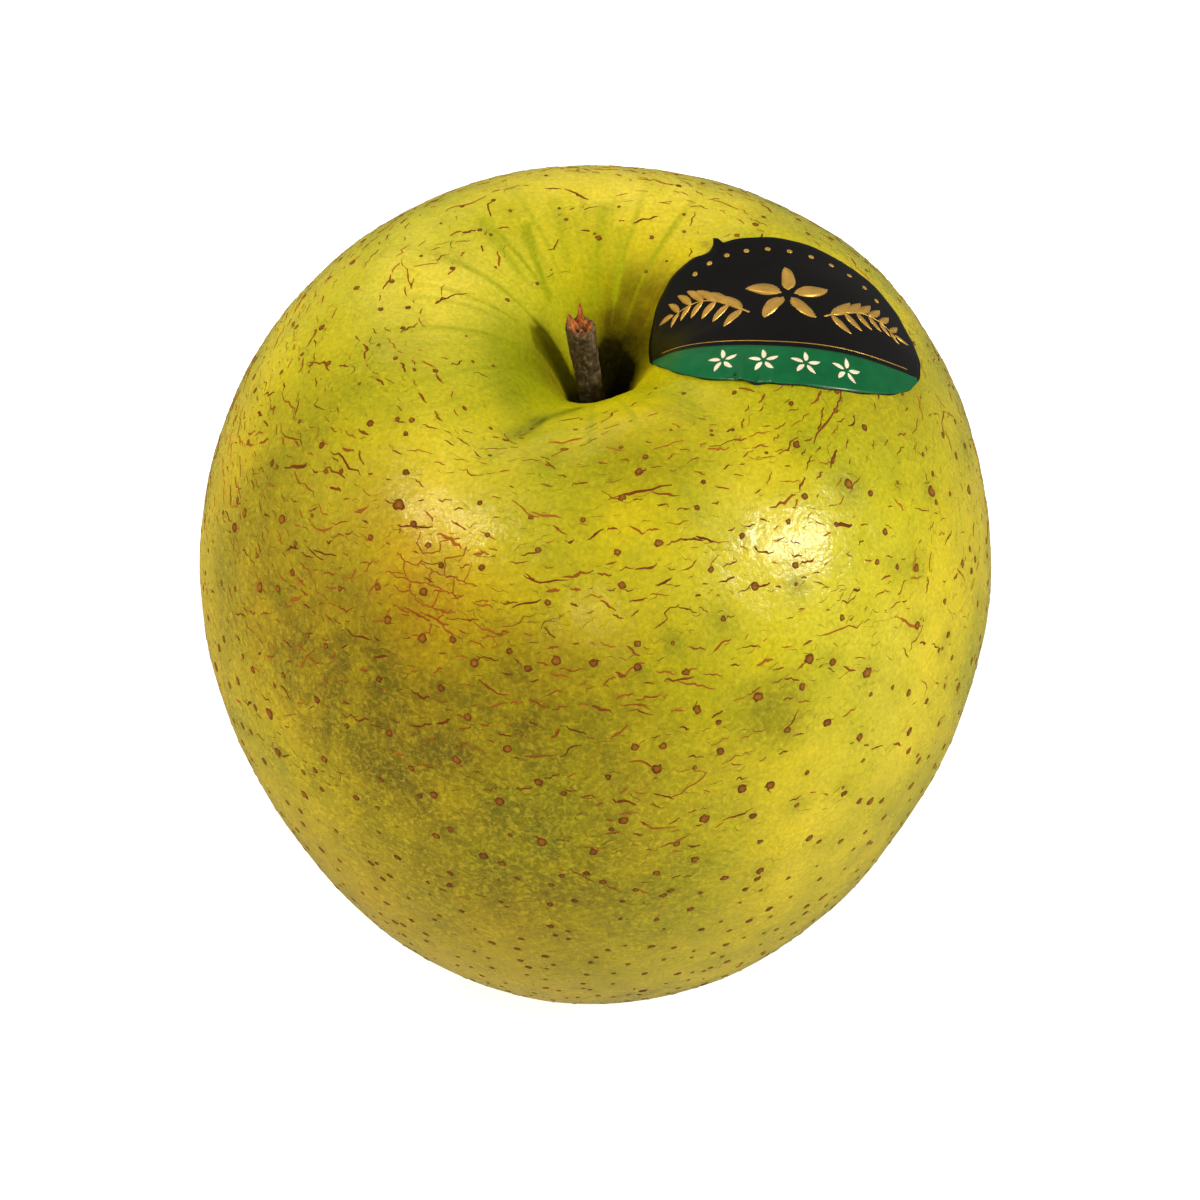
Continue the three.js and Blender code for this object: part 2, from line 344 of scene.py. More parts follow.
# The form of the fruit


@dataclass(frozen=True)
class Form:
    """A fold or a swelling of the skin: azimuth and spread in degrees, the rest in millimetres."""

    azimuth: float
    spread: float
    height: float
    middle: float
    reach: float

    def at(self, q: Array, azimuth: Array) -> Array:
        """Returns its height at places on the skin: a bell curve across times one along."""
        across = bell(turn_from(azimuth, self.azimuth), self.spread)
        return self.height * across * bell(q - self.middle, self.reach)


@dataclass
class AppleForm:
    """The shape of the fruit in millimetres, from the same named sizes as its solid.

    Each wave of the relief has a height, lobes round the axis, a twist, a start, a length and a shift.
    The handles are how far the curves of the round profile run on level or upright from their ends:
    outwards and up from the throat, inwards and outwards from the lip, up and down from the widest
    ring, outwards and inwards from the feet, and outwards and down from the basin's end.
    """

    radius: float = 45.0
    height: float = 87.0
    widest_z: float = 50.5
    lip_radius: float = 20.5
    cavity_depth: float = 17.0
    throat_radius: float = 1.9
    foot_radius: float = 15.0
    basin_depth: float = 8.6
    basin_radius: float = 2.4
    foot_count: int = 5
    foot_rise: float = 1.2
    foot_flat: float = 0.35
    foot_spread: float = 11.0
    first_foot: float = 54.0
    throat_handle: tuple[float, float] = (2.2, 9.0)
    lip_handles: tuple[float, float] = (13.0, 12.5)
    widest_handles: tuple[float, float] = (19.5, 16.0)
    foot_handles: tuple[float, float] = (19.0, 6.5)
    basin_handle: tuple[float, float] = (5.2, 0.4)
    oval: float = 0.003
    oval_azimuth: float = 10.0
    deeper: float = 1.012
    back_rise: float = 0.035
    right_drop: float = 0.004
    lean: float = 0.004
    lean_from: float = 40.0
    slope_step: float = 0.15
    belly_azimuth: float = 255.0
    belly_fullness: float = 0.014
    mouth: Form = Form(248, 38, 3.4, -7, 10)
    lip_forms: tuple[Form, ...] = (
        Form(254, 42, -1.5, -4, 13),
        Form(238, 11, -1.3, -5, 9),
        Form(312, 15, -1.6, -5, 12),
        Form(278, 18, 0.8, -3, 9),
        Form(15, 40, 0.7, 22, 14),
    )
    creases: tuple[Form, ...] = (
        Form(122, 4, -0.25, -8, 7),
        Form(84, 5, -0.15, -6, 8),
        Form(292, 16, -0.7, -10.5, 4.5),
        Form(190, 12, -0.2, -6, 10),
        Form(262, 5, -0.18, 1, 7),
        Form(245, 5, -0.5, -7, 4),
        Form(257, 6, 0.3, -6, 4),
        Form(150, 5, -0.12, -4, 8),
        Form(60, 6, -0.14, -5, 9),
    )
    waves: tuple[tuple[float, ...], ...] = (
        (0.16, 5, 0.05, 0.6, 13.0, 1.1),
        (0.10, 9, -0.11, 2.0, 7.5, 0.4),
        (0.05, 17, 0.21, 0.0, 4.1, 2.2),
        (0.03, 29, -0.37, 1.0, 2.6, 0.0),
    )

    def __post_init__(self) -> None:
        """Works out the round profile: radius and height by distance q from the lip."""
        self.throat_z = self.height - self.cavity_depth
        throat, lip = (self.throat_radius, self.throat_z), (self.lip_radius, self.height)
        widest, foot = (self.radius, self.widest_z), (self.foot_radius, 0.0)
        basin = (self.basin_radius, self.basin_depth)
        from_throat = (throat[0] + self.throat_handle[0], throat[1] + self.throat_handle[1])
        inward, outward = (lip[0] - self.lip_handles[0], lip[1]), (lip[0] + self.lip_handles[1], lip[1])
        above = (widest[0], widest[1] + self.widest_handles[0])
        below = (widest[0], widest[1] - self.widest_handles[1])
        foot_out, foot_in = (foot[0] + self.foot_handles[0], 0.0), (foot[0] - self.foot_handles[1], 0.0)
        to_basin = (basin[0] + self.basin_handle[0], basin[1] - self.basin_handle[1])
        curves = [
            bezier(throat, from_throat, inward, lip),
            bezier(lip, outward, above, widest),
            bezier(widest, below, foot_out, foot),
            bezier(foot, foot_in, to_basin, basin),
        ]
        points = np.vstack([curves[0]] + [curve[1:] for curve in curves[1:]])
        lengths = np.concatenate([[0.0], np.cumsum(np.linalg.norm(np.diff(points, axis=0), axis=1))])
        count = len(curves[0])
        self.table = points
        self.table_q = lengths - lengths[count - 1]
        self.throat_q = float(self.table_q[0])
        self.widest_q = float(self.table_q[2 * count - 2])
        self.foot_q = float(self.table_q[3 * count - 3])
        self.basin_q = float(self.table_q[-1])

    def ring_radius(self, q: Array) -> Array:
        """Returns the radius of the round profile at distances q from the lip."""
        return np.interp(q, self.table_q, self.table[:, 0])

    def crown_q(self, rho: Array) -> Array:
        """Returns the distance q at which the profile of the crown has the given radius."""
        crown = self.table_q <= self.widest_q
        return np.interp(rho, self.table[crown, 0], self.table_q[crown])

    def lopsided(self, points: Array) -> Array:
        """Pushes points out of true: a little deeper than wide, the back higher, the crown to the right."""
        x, y, z = points[..., 0], points[..., 1] * self.deeper, points[..., 2]
        top = ramp(z, 0.0, self.height) ** 2
        z = z + top * (self.back_rise * y - self.right_drop * x)
        return np.stack([x + (z - self.lean_from) * self.lean, y, z], axis=-1)

    def coarse(self, q: Array, azimuth: Array) -> Array:
        """Returns points of the solid's own shape.

        The round profile gets a faint oval, a fuller belly, the folds of the lip and the feet,
        and is pressed flat where it stands.
        """
        q, azimuth = np.broadcast_arrays(q, azimuth)
        rho = self.ring_radius(q)
        z = np.interp(q, self.table_q, self.table[:, 1])
        inside = ramp(q, self.throat_q, 6.0)
        outside = ramp(q, -4.0, 20.0)
        low = ramp(q, 20.0, 40.0)
        belly = np.maximum(0.0, np.cos(azimuth - np.radians(self.belly_azimuth)))
        oval = np.cos(2 * (azimuth - np.radians(self.oval_azimuth)))
        radius = rho * (1 + self.oval * oval * outside + self.belly_fullness * belly * low)
        radius = radius + self.mouth.at(q, azimuth) * inside
        height = z + sum(form.at(q, azimuth) for form in self.lip_forms) * inside
        foot = bell(q - self.foot_q, self.foot_spread) * np.minimum(1.0, rho / self.foot_radius) ** 2
        lift = 0.5 - 0.5 * np.cos(self.foot_count * (azimuth - np.radians(self.first_foot)))
        height = height + self.foot_rise * foot * lift
        point = self.lopsided(polar(radius, azimuth, height))
        point[..., 2] = np.maximum(0.0, point[..., 2] - self.foot_flat)
        return point

    def relief(self, q: Array, azimuth: Array) -> Array:
        """Returns the fine relief: creases of the cavity, and waves that slowly run round the body."""
        waves = sum(
            height * np.sin(lobes * azimuth + twist * q + start) * np.cos(q / length + shift)
            for height, lobes, twist, start, length, shift in self.waves
        )
        body = ramp(q, -22.0, 16.0) * ramp(self.foot_q - q, 12.0, 20.0)
        inside = ramp(q, self.throat_q + 5.0, 9.0)
        return waves * body + sum(form.at(q, azimuth) for form in self.creases) * inside

    def skin(self, q: Array, azimuth: Array, lift: Array | float = 0.0) -> Array:
        """Returns points on or above the skin.

        Args:
            q: distances from the lip.
            azimuth: azimuths in radians.
            lift: heights above the skin.

        Returns:
            The solid's shape, moved along its outward direction by the relief and the lift.
        """
        q, azimuth, lift = np.broadcast_arrays(q, azimuth, lift)
        step = self.slope_step
        turn = step / np.maximum(self.ring_radius(q), 1.0)
        down = self.coarse(q + step, azimuth) - self.coarse(q - step, azimuth)
        around = self.coarse(q, azimuth + turn) - self.coarse(q, azimuth - turn)
        normal = np.cross(down, around)
        normal /= np.linalg.norm(normal, axis=-1, keepdims=True) + 1e-12
        return self.coarse(q, azimuth) + normal * (self.relief(q, azimuth) + lift)[..., None]


# Finishes


@dataclass(frozen=True)
class AppleSkin:
    """Ripe yellow-green apple skin, grown and waxy: a soft broken gloss over colour that clouds,
    mottles in worm-like flecks a millimetre or two wide, and shows green and amber patches. Its tints
    also hold painted light on the lit skin and painted shade in the cavity, its folds and the basin."""

    yellow: str = "#cabc0e"
    leaf: str = "#9a9d09"
    fleck: str = "#d8ca2a"
    cloud_mm: float = 14.0
    patch_mm: float = 4.2
    dimple_mm: float = 2.6
    fleck_mm: float = 0.6
    grain_mm: float = 0.45
    dimple_depth: float = 0.2
    grain_depth: float = 0.06
    roughness: tuple[float, float] = (0.22, 0.38)
    wall_roughness: float = 0.3
    coat: float = 0.32
    gloss: float = 0.36
    wall_gloss: float = 0.03
    # The pale tint is painted light and the deep tint painted shade; the olive, moss and halo tints are skin
    # colours also laid as painted shade.
    tints: tuple[tuple[Tint, str], ...] = (
        (Tint.GREEN, "#bcc01c"),
        (Tint.AMBER, "#be940e"),
        (Tint.PAINTED_LIGHT, "#e3d54c"),
        (Tint.OLIVE_AND_SHADE, "#685d0b"),
        (Tint.MOSS_AND_SHADE, "#98a00f"),
        (Tint.HALO, "#6c740d"),
        (Tint.DEEP_SHADE, "#262203"),
    )

    def build(self) -> Material:
        """Returns the material: clouds of yellow and leaf green, the tints, the flecks, then bumps.

        The wall of the cavity is duller: there the coat fades out and the roughness grows.
        """
        material, tree, shader, spot = new_material("waxy_apple_skin")
        cloud = noise(tree, spot, self.cloud_mm, 4.0, 0.55)
        shade = mixed(tree, spread(tree, cloud, 0.36, 0.66), self.yellow, self.leaf)
        patchy = noise(tree, spot, self.patch_mm, 5.0, 0.6)
        broken = spread(tree, patchy, 0.3, 0.7, 0.62, 1.2)
        for tint, colour in self.tints:
            share = reckoned(tree, "MULTIPLY", broken, painted(tree, tint.value), clamp=True)
            shade = mixed(tree, share, shade, colour)
        worms = spread(tree, noise(tree, spot, self.fleck_mm, 4.0, 0.6, 0.9), 0.45, 0.66, 0.0, 0.48)
        share = reckoned(tree, "MULTIPLY", worms, painted(tree, Tint.FLECK.value))
        shade = mixed(tree, share, shade, self.fleck)
        grain = noise(tree, spot, self.grain_mm, 3.0, 0.6)
        dimples = noise(tree, spot, self.dimple_mm, 2.0)
        normal = bumped(tree, grain, self.grain_depth, over=bumped(tree, dimples, self.dimple_depth))
        wall = painted(tree, Tint.WALL.value)
        dull = spread(tree, patchy, 0.3, 0.7, *self.roughness)
        gloss = reckoned(tree, "MULTIPLY_ADD", wall, self.wall_gloss - self.gloss, self.gloss)
        settings = {
            "Base Color": times(tree, shade, spread(tree, grain, 0.3, 0.7, 0.82, 1.15)),
            "Roughness": reckoned(tree, "MULTIPLY_ADD", wall, self.wall_roughness, dull),
            "Coat Weight": reckoned(tree, "MULTIPLY_ADD", wall, -self.coat, self.coat),
            "Coat Roughness": 0.15,
            "Specular IOR Level": gloss,
            "Normal": normal,
            "Coat Normal": normal,
            "IOR": 1.45,
            "Subsurface Weight": 0.12,
            "Subsurface Radius": (1.0, 0.65, 0.12),
            "Subsurface Scale": 3.0 * MM,
        }
        settle(tree, shader, settings)
        return material


@dataclass(frozen=True)
class Cork:
    """Cork that grew in pores and cracks of the skin: dry, without gloss, darker at its rim."""

    name: str
    rim: str
    middle: str
    grain_mm: float = 0.35

    def build(self) -> Material:
        """Returns the material: rim and middle colours mixed by the tone attribute, with a fine grain."""
        material, tree, shader, spot = new_material(self.name)
        grain = noise(tree, spot, self.grain_mm, 3.0, 0.65)
        speckle = spread(tree, grain, 0.3, 0.7, -0.22, 0.22)
        tone = reckoned(tree, "ADD", painted(tree, "tone"), speckle, clamp=True)
        settings = {
            "Base Color": mixed(tree, tone, self.rim, self.middle),
            "Normal": bumped(tree, grain, 0.04, 0.5),
            "Roughness": 0.7,
            "Specular IOR Level": 0.25,
        }
        settle(tree, shader, settings)
        return material


@dataclass(frozen=True)
class StemWood:
    """Weathered apple stem: grey-brown bark with pale lichen-like flecks, and torn wood, orange-brown
    and fibrous, where it broke."""

    bark: str = "#4a3e2d"
    bark_dark: str = "#1f1910"
    fleck: str = "#857355"
    torn: str = "#b0642a"
    torn_dark: str = "#4a1c0a"
    torn_pale: str = "#d98f45"
    fleck_mm: float = 0.7
    fibre_mm: float = 0.22

    def build(self) -> Material:
        """Returns the material: bark in two browns with flecks, mixed to torn fibres by an attribute."""
        material, tree, shader, spot = new_material("weathered_stem_wood")
        lengthways = add(tree, "ShaderNodeMapping", {"Vector": spot, "Scale": (1.0, 1.0, 0.3)}).outputs[0]
        fibre = noise(tree, lengthways, self.fibre_mm, 4.0, 0.6)
        blotch = noise(tree, spot, self.fleck_mm, 4.0, 0.6)
        bark_stops = [(0.3, self.bark_dark), (0.52, self.bark), (0.72, self.fleck)]
        torn_stops = [(0.34, self.torn_dark), (0.5, self.torn), (0.75, self.torn_pale)]
        bark = add(tree, "ShaderNodeValToRGB", {"stops": bark_stops, "Fac": blotch}).outputs["Color"]
        torn = add(tree, "ShaderNodeValToRGB", {"stops": torn_stops, "Fac": fibre}).outputs["Color"]
        settings = {
            "Base Color": mixed(tree, painted(tree, "torn"), bark, torn),
            "Normal": bumped(tree, blotch, 0.15, 0.7, over=bumped(tree, fibre, 0.12, 0.8)),
            "Roughness": 0.68,
            "IOR": 1.45,
        }
        settle(tree, shader, settings)
        return material


@dataclass(frozen=True)
class DriedSepal:
    """Dried sepals and stamens: papery, brown with grey down, without gloss."""

    brown: str = "#6b4c26"
    dark: str = "#2c1f10"
    down: str = "#a8986e"
    streak_mm: float = 0.6

    def build(self) -> Material:
        """Returns the material: brown paper with dark streaks and pale down."""
        material, tree, shader, spot = new_material("dried_sepal_paper")
        streak = noise(tree, spot, self.streak_mm, 5.0, 0.7)
        stops = [(0.32, self.dark), (0.52, self.brown), (0.74, self.down)]
        settings = {
            "Base Color": add(tree, "ShaderNodeValToRGB", {"stops": stops, "Fac": streak}).outputs["Color"],
            "Normal": bumped(tree, streak, 0.15, 0.7),
            "Roughness": 0.85,
            "Sheen Weight": 0.2,
        }
        settle(tree, shader, settings)
        return material


@dataclass(frozen=True)
class PrintedFilm:
    """Printed polypropylene film: even ink under a satin gloss, with faint ripples from the glue."""

    name: str
    ink: str
    roughness: float = 0.3
    metallic: float = 0.0
    ripple_mm: float = 1.8

    def build(self) -> Material:
        """Returns the material: one ink, a little clouded, with a soft ripple."""
        material, tree, shader, spot = new_material(self.name)
        cloud = noise(tree, spot, self.ripple_mm, 3.0, 0.6)
        settings = {
            "Base Color": times(tree, linear(self.ink)[:3], spread(tree, cloud, 0.3, 0.7, 0.85, 1.15)),
            "Normal": bumped(tree, cloud, 0.08, 0.3),
            "Roughness": self.roughness,
            "Metallic": self.metallic,
        }
        settle(tree, shader, settings)
        return material


# The fruit and its markings


@dataclass(frozen=True)
class Patch:
    """A soft patch: its place, its reach in millimetres along q, its spread in degrees, its strength."""

    q: float
    azimuth: float
    reach: float
    spread: float
    strength: float

    def at(self, q: Array, azimuth: Array) -> Array:
        """Returns its strength at places on the skin: a bell curve round times one along."""
        across = bell(turn_from(azimuth, self.azimuth), self.spread)
        return self.strength * across * bell(q - self.q, self.reach)


@dataclass(frozen=True)
class Line:
    """A thin straight line: its ends by q and azimuth, its half width in millimetres, its strength."""

    start: tuple[float, float]
    end: tuple[float, float]
    half_width: float
    strength: float

    def at(self, form: AppleForm, q: Array, azimuth: Array) -> Array:
        """Returns its strength at places on the skin, from their distance to it on the unrolled skin."""
        around = form.ring_radius(np.array(0.5 * (self.start[0] + self.end[0]))) * np.pi / 180
        spot = np.stack([q - self.start[0], turn_from(azimuth, self.start[1]) * around], axis=-1)
        run = np.array([self.end[0] - self.start[0], (self.end[1] - self.start[1]) * around])
        share = np.clip(spot @ run / (run @ run), 0.0, 1.0)
        return self.strength * bell(np.linalg.norm(spot - share[..., None] * run, axis=-1), self.half_width)


# Soft patches of each tint. Where they meet, they add up. The pale patches are painted light and
# the deep ones painted shade; some olive, halo and moss patches are painted shade too.
PATCHES: dict[Tint, tuple[Patch, ...]] = {
    Tint.AMBER: (
        Patch(21.5, 243, 7, 11, 0.85),
        Patch(31, 222, 10, 13, 0.45),
        Patch(14, 232, 6, 12, 0.5),
        Patch(36, 246, 8, 9, 0.45),
        Patch(26, 262, 6, 9, 0.35),
        Patch(58, 262, 9, 12, 0.3),
        Patch(68, 235, 14, 18, 0.3),
        Patch(82, 255, 10, 22, 0.2),
        Patch(40, 205, 12, 12, 0.2),
    ),
    Tint.OLIVE_AND_SHADE: (
        # Olive skin, laid heaviest on the lower left, where it also stands in for the shade there.
        Patch(36, 238, 12, 15, 0.76),
        Patch(38, 266, 12, 22, 0.58),
        Patch(52, 256, 10, 22, 0.42),
        Patch(32, 296, 4, 5, 0.5),
        Patch(33, 216, 10, 14, 0.35),
        Patch(27, 200, 12, 16, 0.35),
        Patch(66, 232, 14, 25, 0.3),
        Patch(58, 270, 12, 20, 0.3),
        # Painted shade on the cavity's walls: the low left wall where the stem's shadow falls, and the
        # shaded right wall.
        Patch(-17.5, 195, 4, 45, 1.1),
        Patch(-17, 65, 3.5, 24, 0.9),
        Patch(-14.5, 35, 5.5, 46, 1.2),
        Patch(14, 342, 9, 16, 0.45),
        Patch(15, 202, 8, 10, 0.3),
        Patch(25, 262, 10, 19, 0.54),
        # Painted shade just under the front lip.
        Patch(1.5, 272, 6.0, 26, 0.42),
        Patch(26, 222, 12, 18, 0.4),
        Patch(4, 200, 9, 16, 0.22),
    ),
    Tint.HALO: (
        Patch(38, 236, 8, 10, 0.12),
        Patch(33, 294, 4, 6, 0.5),
        Patch(47, 262, 9, 14, 0.35),
        Patch(62, 285, 8, 9, 0.25),
        # Painted shade on the cavity's left wall round the stem's shadow, and just inside the lip.
        Patch(-13, 200, 5, 35, 0.6),
        Patch(-9, 230, 3, 14, 0.4),
        Patch(-2, 150, 3, 7, 0.3),
        Patch(-3, 300, 3, 8, 0.35),
        Patch(70, 270, 6, 9, 0.25),
        Patch(24, 286, 5, 9, 0.25),
        Patch(5, 285, 3, 14, 0.2),
    ),
    Tint.GREEN: (
        Patch(-10, 170, 9, 60, 0.8),
        Patch(17, 335, 8, 18, 0.7),
        Patch(12, 180, 9, 25, 0.5),
        Patch(25, 300, 14, 20, 0.5),
        Patch(4, 140, 9, 25, 0.5),
        Patch(30, 100, 16, 40, 0.4),
        Patch(116, 0, 9, 9000, 0.8),
    ),
    Tint.MOSS_AND_SHADE: (
        # Painted shade beside a crease on the cavity's back wall, and on its low left wall where the stem's
        # shadow falls.
        Patch(-2, 128, 6, 16, 0.45),
        Patch(-12, 200, 6, 45, 0.5),
        Patch(8, 200, 8, 20, 0.4),
        Patch(2, 330, 7, 14, 0.4),
        Patch(4, 262, 4, 14, 0.35),
    ),
    Tint.PAINTED_LIGHT: (
        # Painted light: the cavity's left wall, lit from the right; the lit right flank, left shoulder and
        # back of the crown; and the bottom, where the floor throws light up.
        Patch(6, 240, 7, 20, 0.5),
        Patch(-6, 160, 8, 40, 0.5),
        Patch(48, 306, 14, 18, 0.3),
        Patch(3, 75, 9, 35, 0.7),
        Patch(14, 300, 9, 12, 0.5),
        Patch(62, 290, 12, 25, 0.2),
        Patch(45, 20, 25, 40, 0.45),
        Patch(33, 316, 10, 12, 0.35),
        Patch(90, 250, 17, 60, 0.8),
        Patch(-3, 175, 8, 35, 0.5),
    ),
    Tint.DEEP_SHADE: (
        # Painted shade: near black in the throat of the cavity and in the basin, dark on the cavity's shaded
        # right wall.
        Patch(-30, 0, 6, 9000, 1.0),
        Patch(-23.5, 60, 3.4, 55, 2.4),
        Patch(-19.3, 55, 3.0, 42, 0.95),
        Patch(129, 0, 6, 9000, 0.8),
    ),
}

# Thin lines of painted shade: in the fold under the front lip and in the creases on the wall of the cavity.
LINES: dict[Tint, tuple[Line, ...]] = {
    Tint.DEEP_SHADE: (
        Line((-5.5, 244.0), (-9.0, 247.5), 0.35, 0.3),
        Line((-9.0, 247.5), (-12.2, 260.0), 0.4, 0.4),
    ),
    Tint.HALO: (
        Line((-4.0, 242.5), (-9.0, 246.5), 0.9, 0.6),
        Line((-9.0, 246.5), (-12.2, 260.0), 0.9, 0.5),
    ),
    Tint.MOSS_AND_SHADE: (
        Line((-4.0, 118.5), (-13.0, 128.0), 0.5, 0.9),
        Line((-1.0, 131.0), (-9.5, 137.0), 0.6, 0.6),
        Line((-3.0, 88.0), (-15.0, 92.0), 0.6, 0.8),
        Line((-6.0, 80.0), (-14.0, 76.0), 0.6, 0.8),
        Line((-1.0, 104.0), (-10.0, 107.0), 0.6, 0.5),
    ),
}


@dataclass
class Fruit:
    """The skin of the fruit, from the stem's throat to the calyx."""

    form: AppleForm
    columns: int = 384
    crown_step: float = 0.5
    flank_step: float = 0.76
    basin_step: float = 0.7
    flank_start: float = 20.0
    basin_lead: float = 4.0
    halo_seed: int = 3
    faintest_halo: float = 0.08

    def halos(self, rings: Array) -> Array:
        """Returns how dark green the skin is round the pores: a bell curve of the distance to each."""
        q, azimuth, radius = CorkyDots(self.form).places(np.random.default_rng(CorkyDots.seed))
        rng = np.random.default_rng(self.halo_seed)
        common = np.interp(q, [-5, 15, 60, 100], [0.2, 1.0, 0.6, 0.3])
        strength = 0.6 * rng.random(q.size) ** 2.2 * common
        strong = strength > self.faintest_halo
        centres = self.form.skin(q[strong], azimuth[strong])
        amount = np.zeros(rings.shape[:2])
        for centre, share, size in zip(centres, strength[strong], radius[strong]):
            distance = np.linalg.norm(rings - centre, axis=-1)
            amount = np.maximum(amount, share * bell(distance, 1.1 + 1.6 * size))
        return amount

    def streaks(self, q: Array, azimuth: Array) -> Array:
        """Returns green streaks down the wall of the cavity: waves round it, cut off below a level."""
        waves = (
            np.sin(19 * azimuth + 1.3)
            + np.sin(31 * azimuth + 0.4 + 0.05 * q)
            + np.sin(47 * azimuth + 2.2)
            + np.sin(73 * azimuth - 0.04 * q)
        )
        return 0.8 * ramp(waves, 0.7, 2.2) * bell(q + 7.0, 8.0)

    def amount(self, tint: Tint, q: Array, azimuth: Array, rings: Array) -> Array:
        """Returns how strong a tint is at the skin's vertices.

        The wall of the cavity starts inside the lip, and the flecks are strongest on the flank. Other
        tints are the sum of their patches and lines, and of the halos or streaks.
        """
        if tint is Tint.WALL:
            return ramp(-q, 5.0, 7.0)
        if tint is Tint.FLECK:
            flank = ramp(q, 24.0, 26.0) * np.clip((self.form.foot_q + 4.0 - q) / 12.0, 0.2, 1.0)
            return (0.45 + 0.55 * flank) * np.clip((q + 12.0) / 8.0, 0.1, 1.0)
        strength = sum(patch.at(q, azimuth) for patch in PATCHES.get(tint, ()))
        strength = strength + sum(line.at(self.form, q, azimuth) for line in LINES.get(tint, ()))
        if tint is Tint.HALO:
            strength = strength + self.halos(rings)
        if tint is Tint.MOSS_AND_SHADE:
            strength = strength + self.streaks(q, azimuth)
        return np.clip(strength, 0.0, 2.0 if tint is Tint.DEEP_SHADE else 1.0)

    def build(self) -> Piece:
        """Makes the skin: rings round the profile, from the throat over the lip and down to the basin.

        Its end points carry the mean tint of the end rings.
        """
        form = self.form
        basin_start = form.foot_q - self.basin_lead
        rows = [
            np.arange(form.throat_q, self.flank_start, self.crown_step),
            np.arange(self.flank_start, basin_start, self.flank_step),
            np.arange(basin_start, form.basin_q, self.basin_step),
            [form.basin_q],
        ]
        q, azimuth = np.meshgrid(np.concatenate(rows), circle(self.columns), indexing="ij")
        rings = form.skin(q, azimuth)
        skin = make_piece("fruit_skin", closed_loft(rings), AppleSkin().build())
        for tint in Tint:
            amount = self.amount(tint, q, azimuth, rings)
            mark(skin, tint.value, np.concatenate([amount.ravel(), [amount[0].mean(), amount[-1].mean()]]))
        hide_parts("fruit")
        return skin


def scatter(form: AppleForm, rng: np.random.Generator, count: int, chance: Share) -> tuple[Array, Array]:
    """Strews places over the skin, as many for each square millimetre as the chance says.

    Args:
        form: the fruit's form.
        rng: the seeded random numbers.
        count: how many places.
        chance: share of places that are kept, from 0 to 1, by q and azimuth.

    Returns:
        q and azimuth of each place.
    """
    grid = np.linspace(form.throat_q, form.basin_q, 2000)
    area = np.cumsum(form.ring_radius(grid))
    tries = count * TRIES_A_PLACE
    q = np.interp(rng.random(tries) * area[-1], area, grid)
    azimuth = rng.random(tries) * 2 * np.pi
    kept = np.flatnonzero(rng.random(tries) < chance(q, azimuth))[:count]
    return q[kept], azimuth[kept]


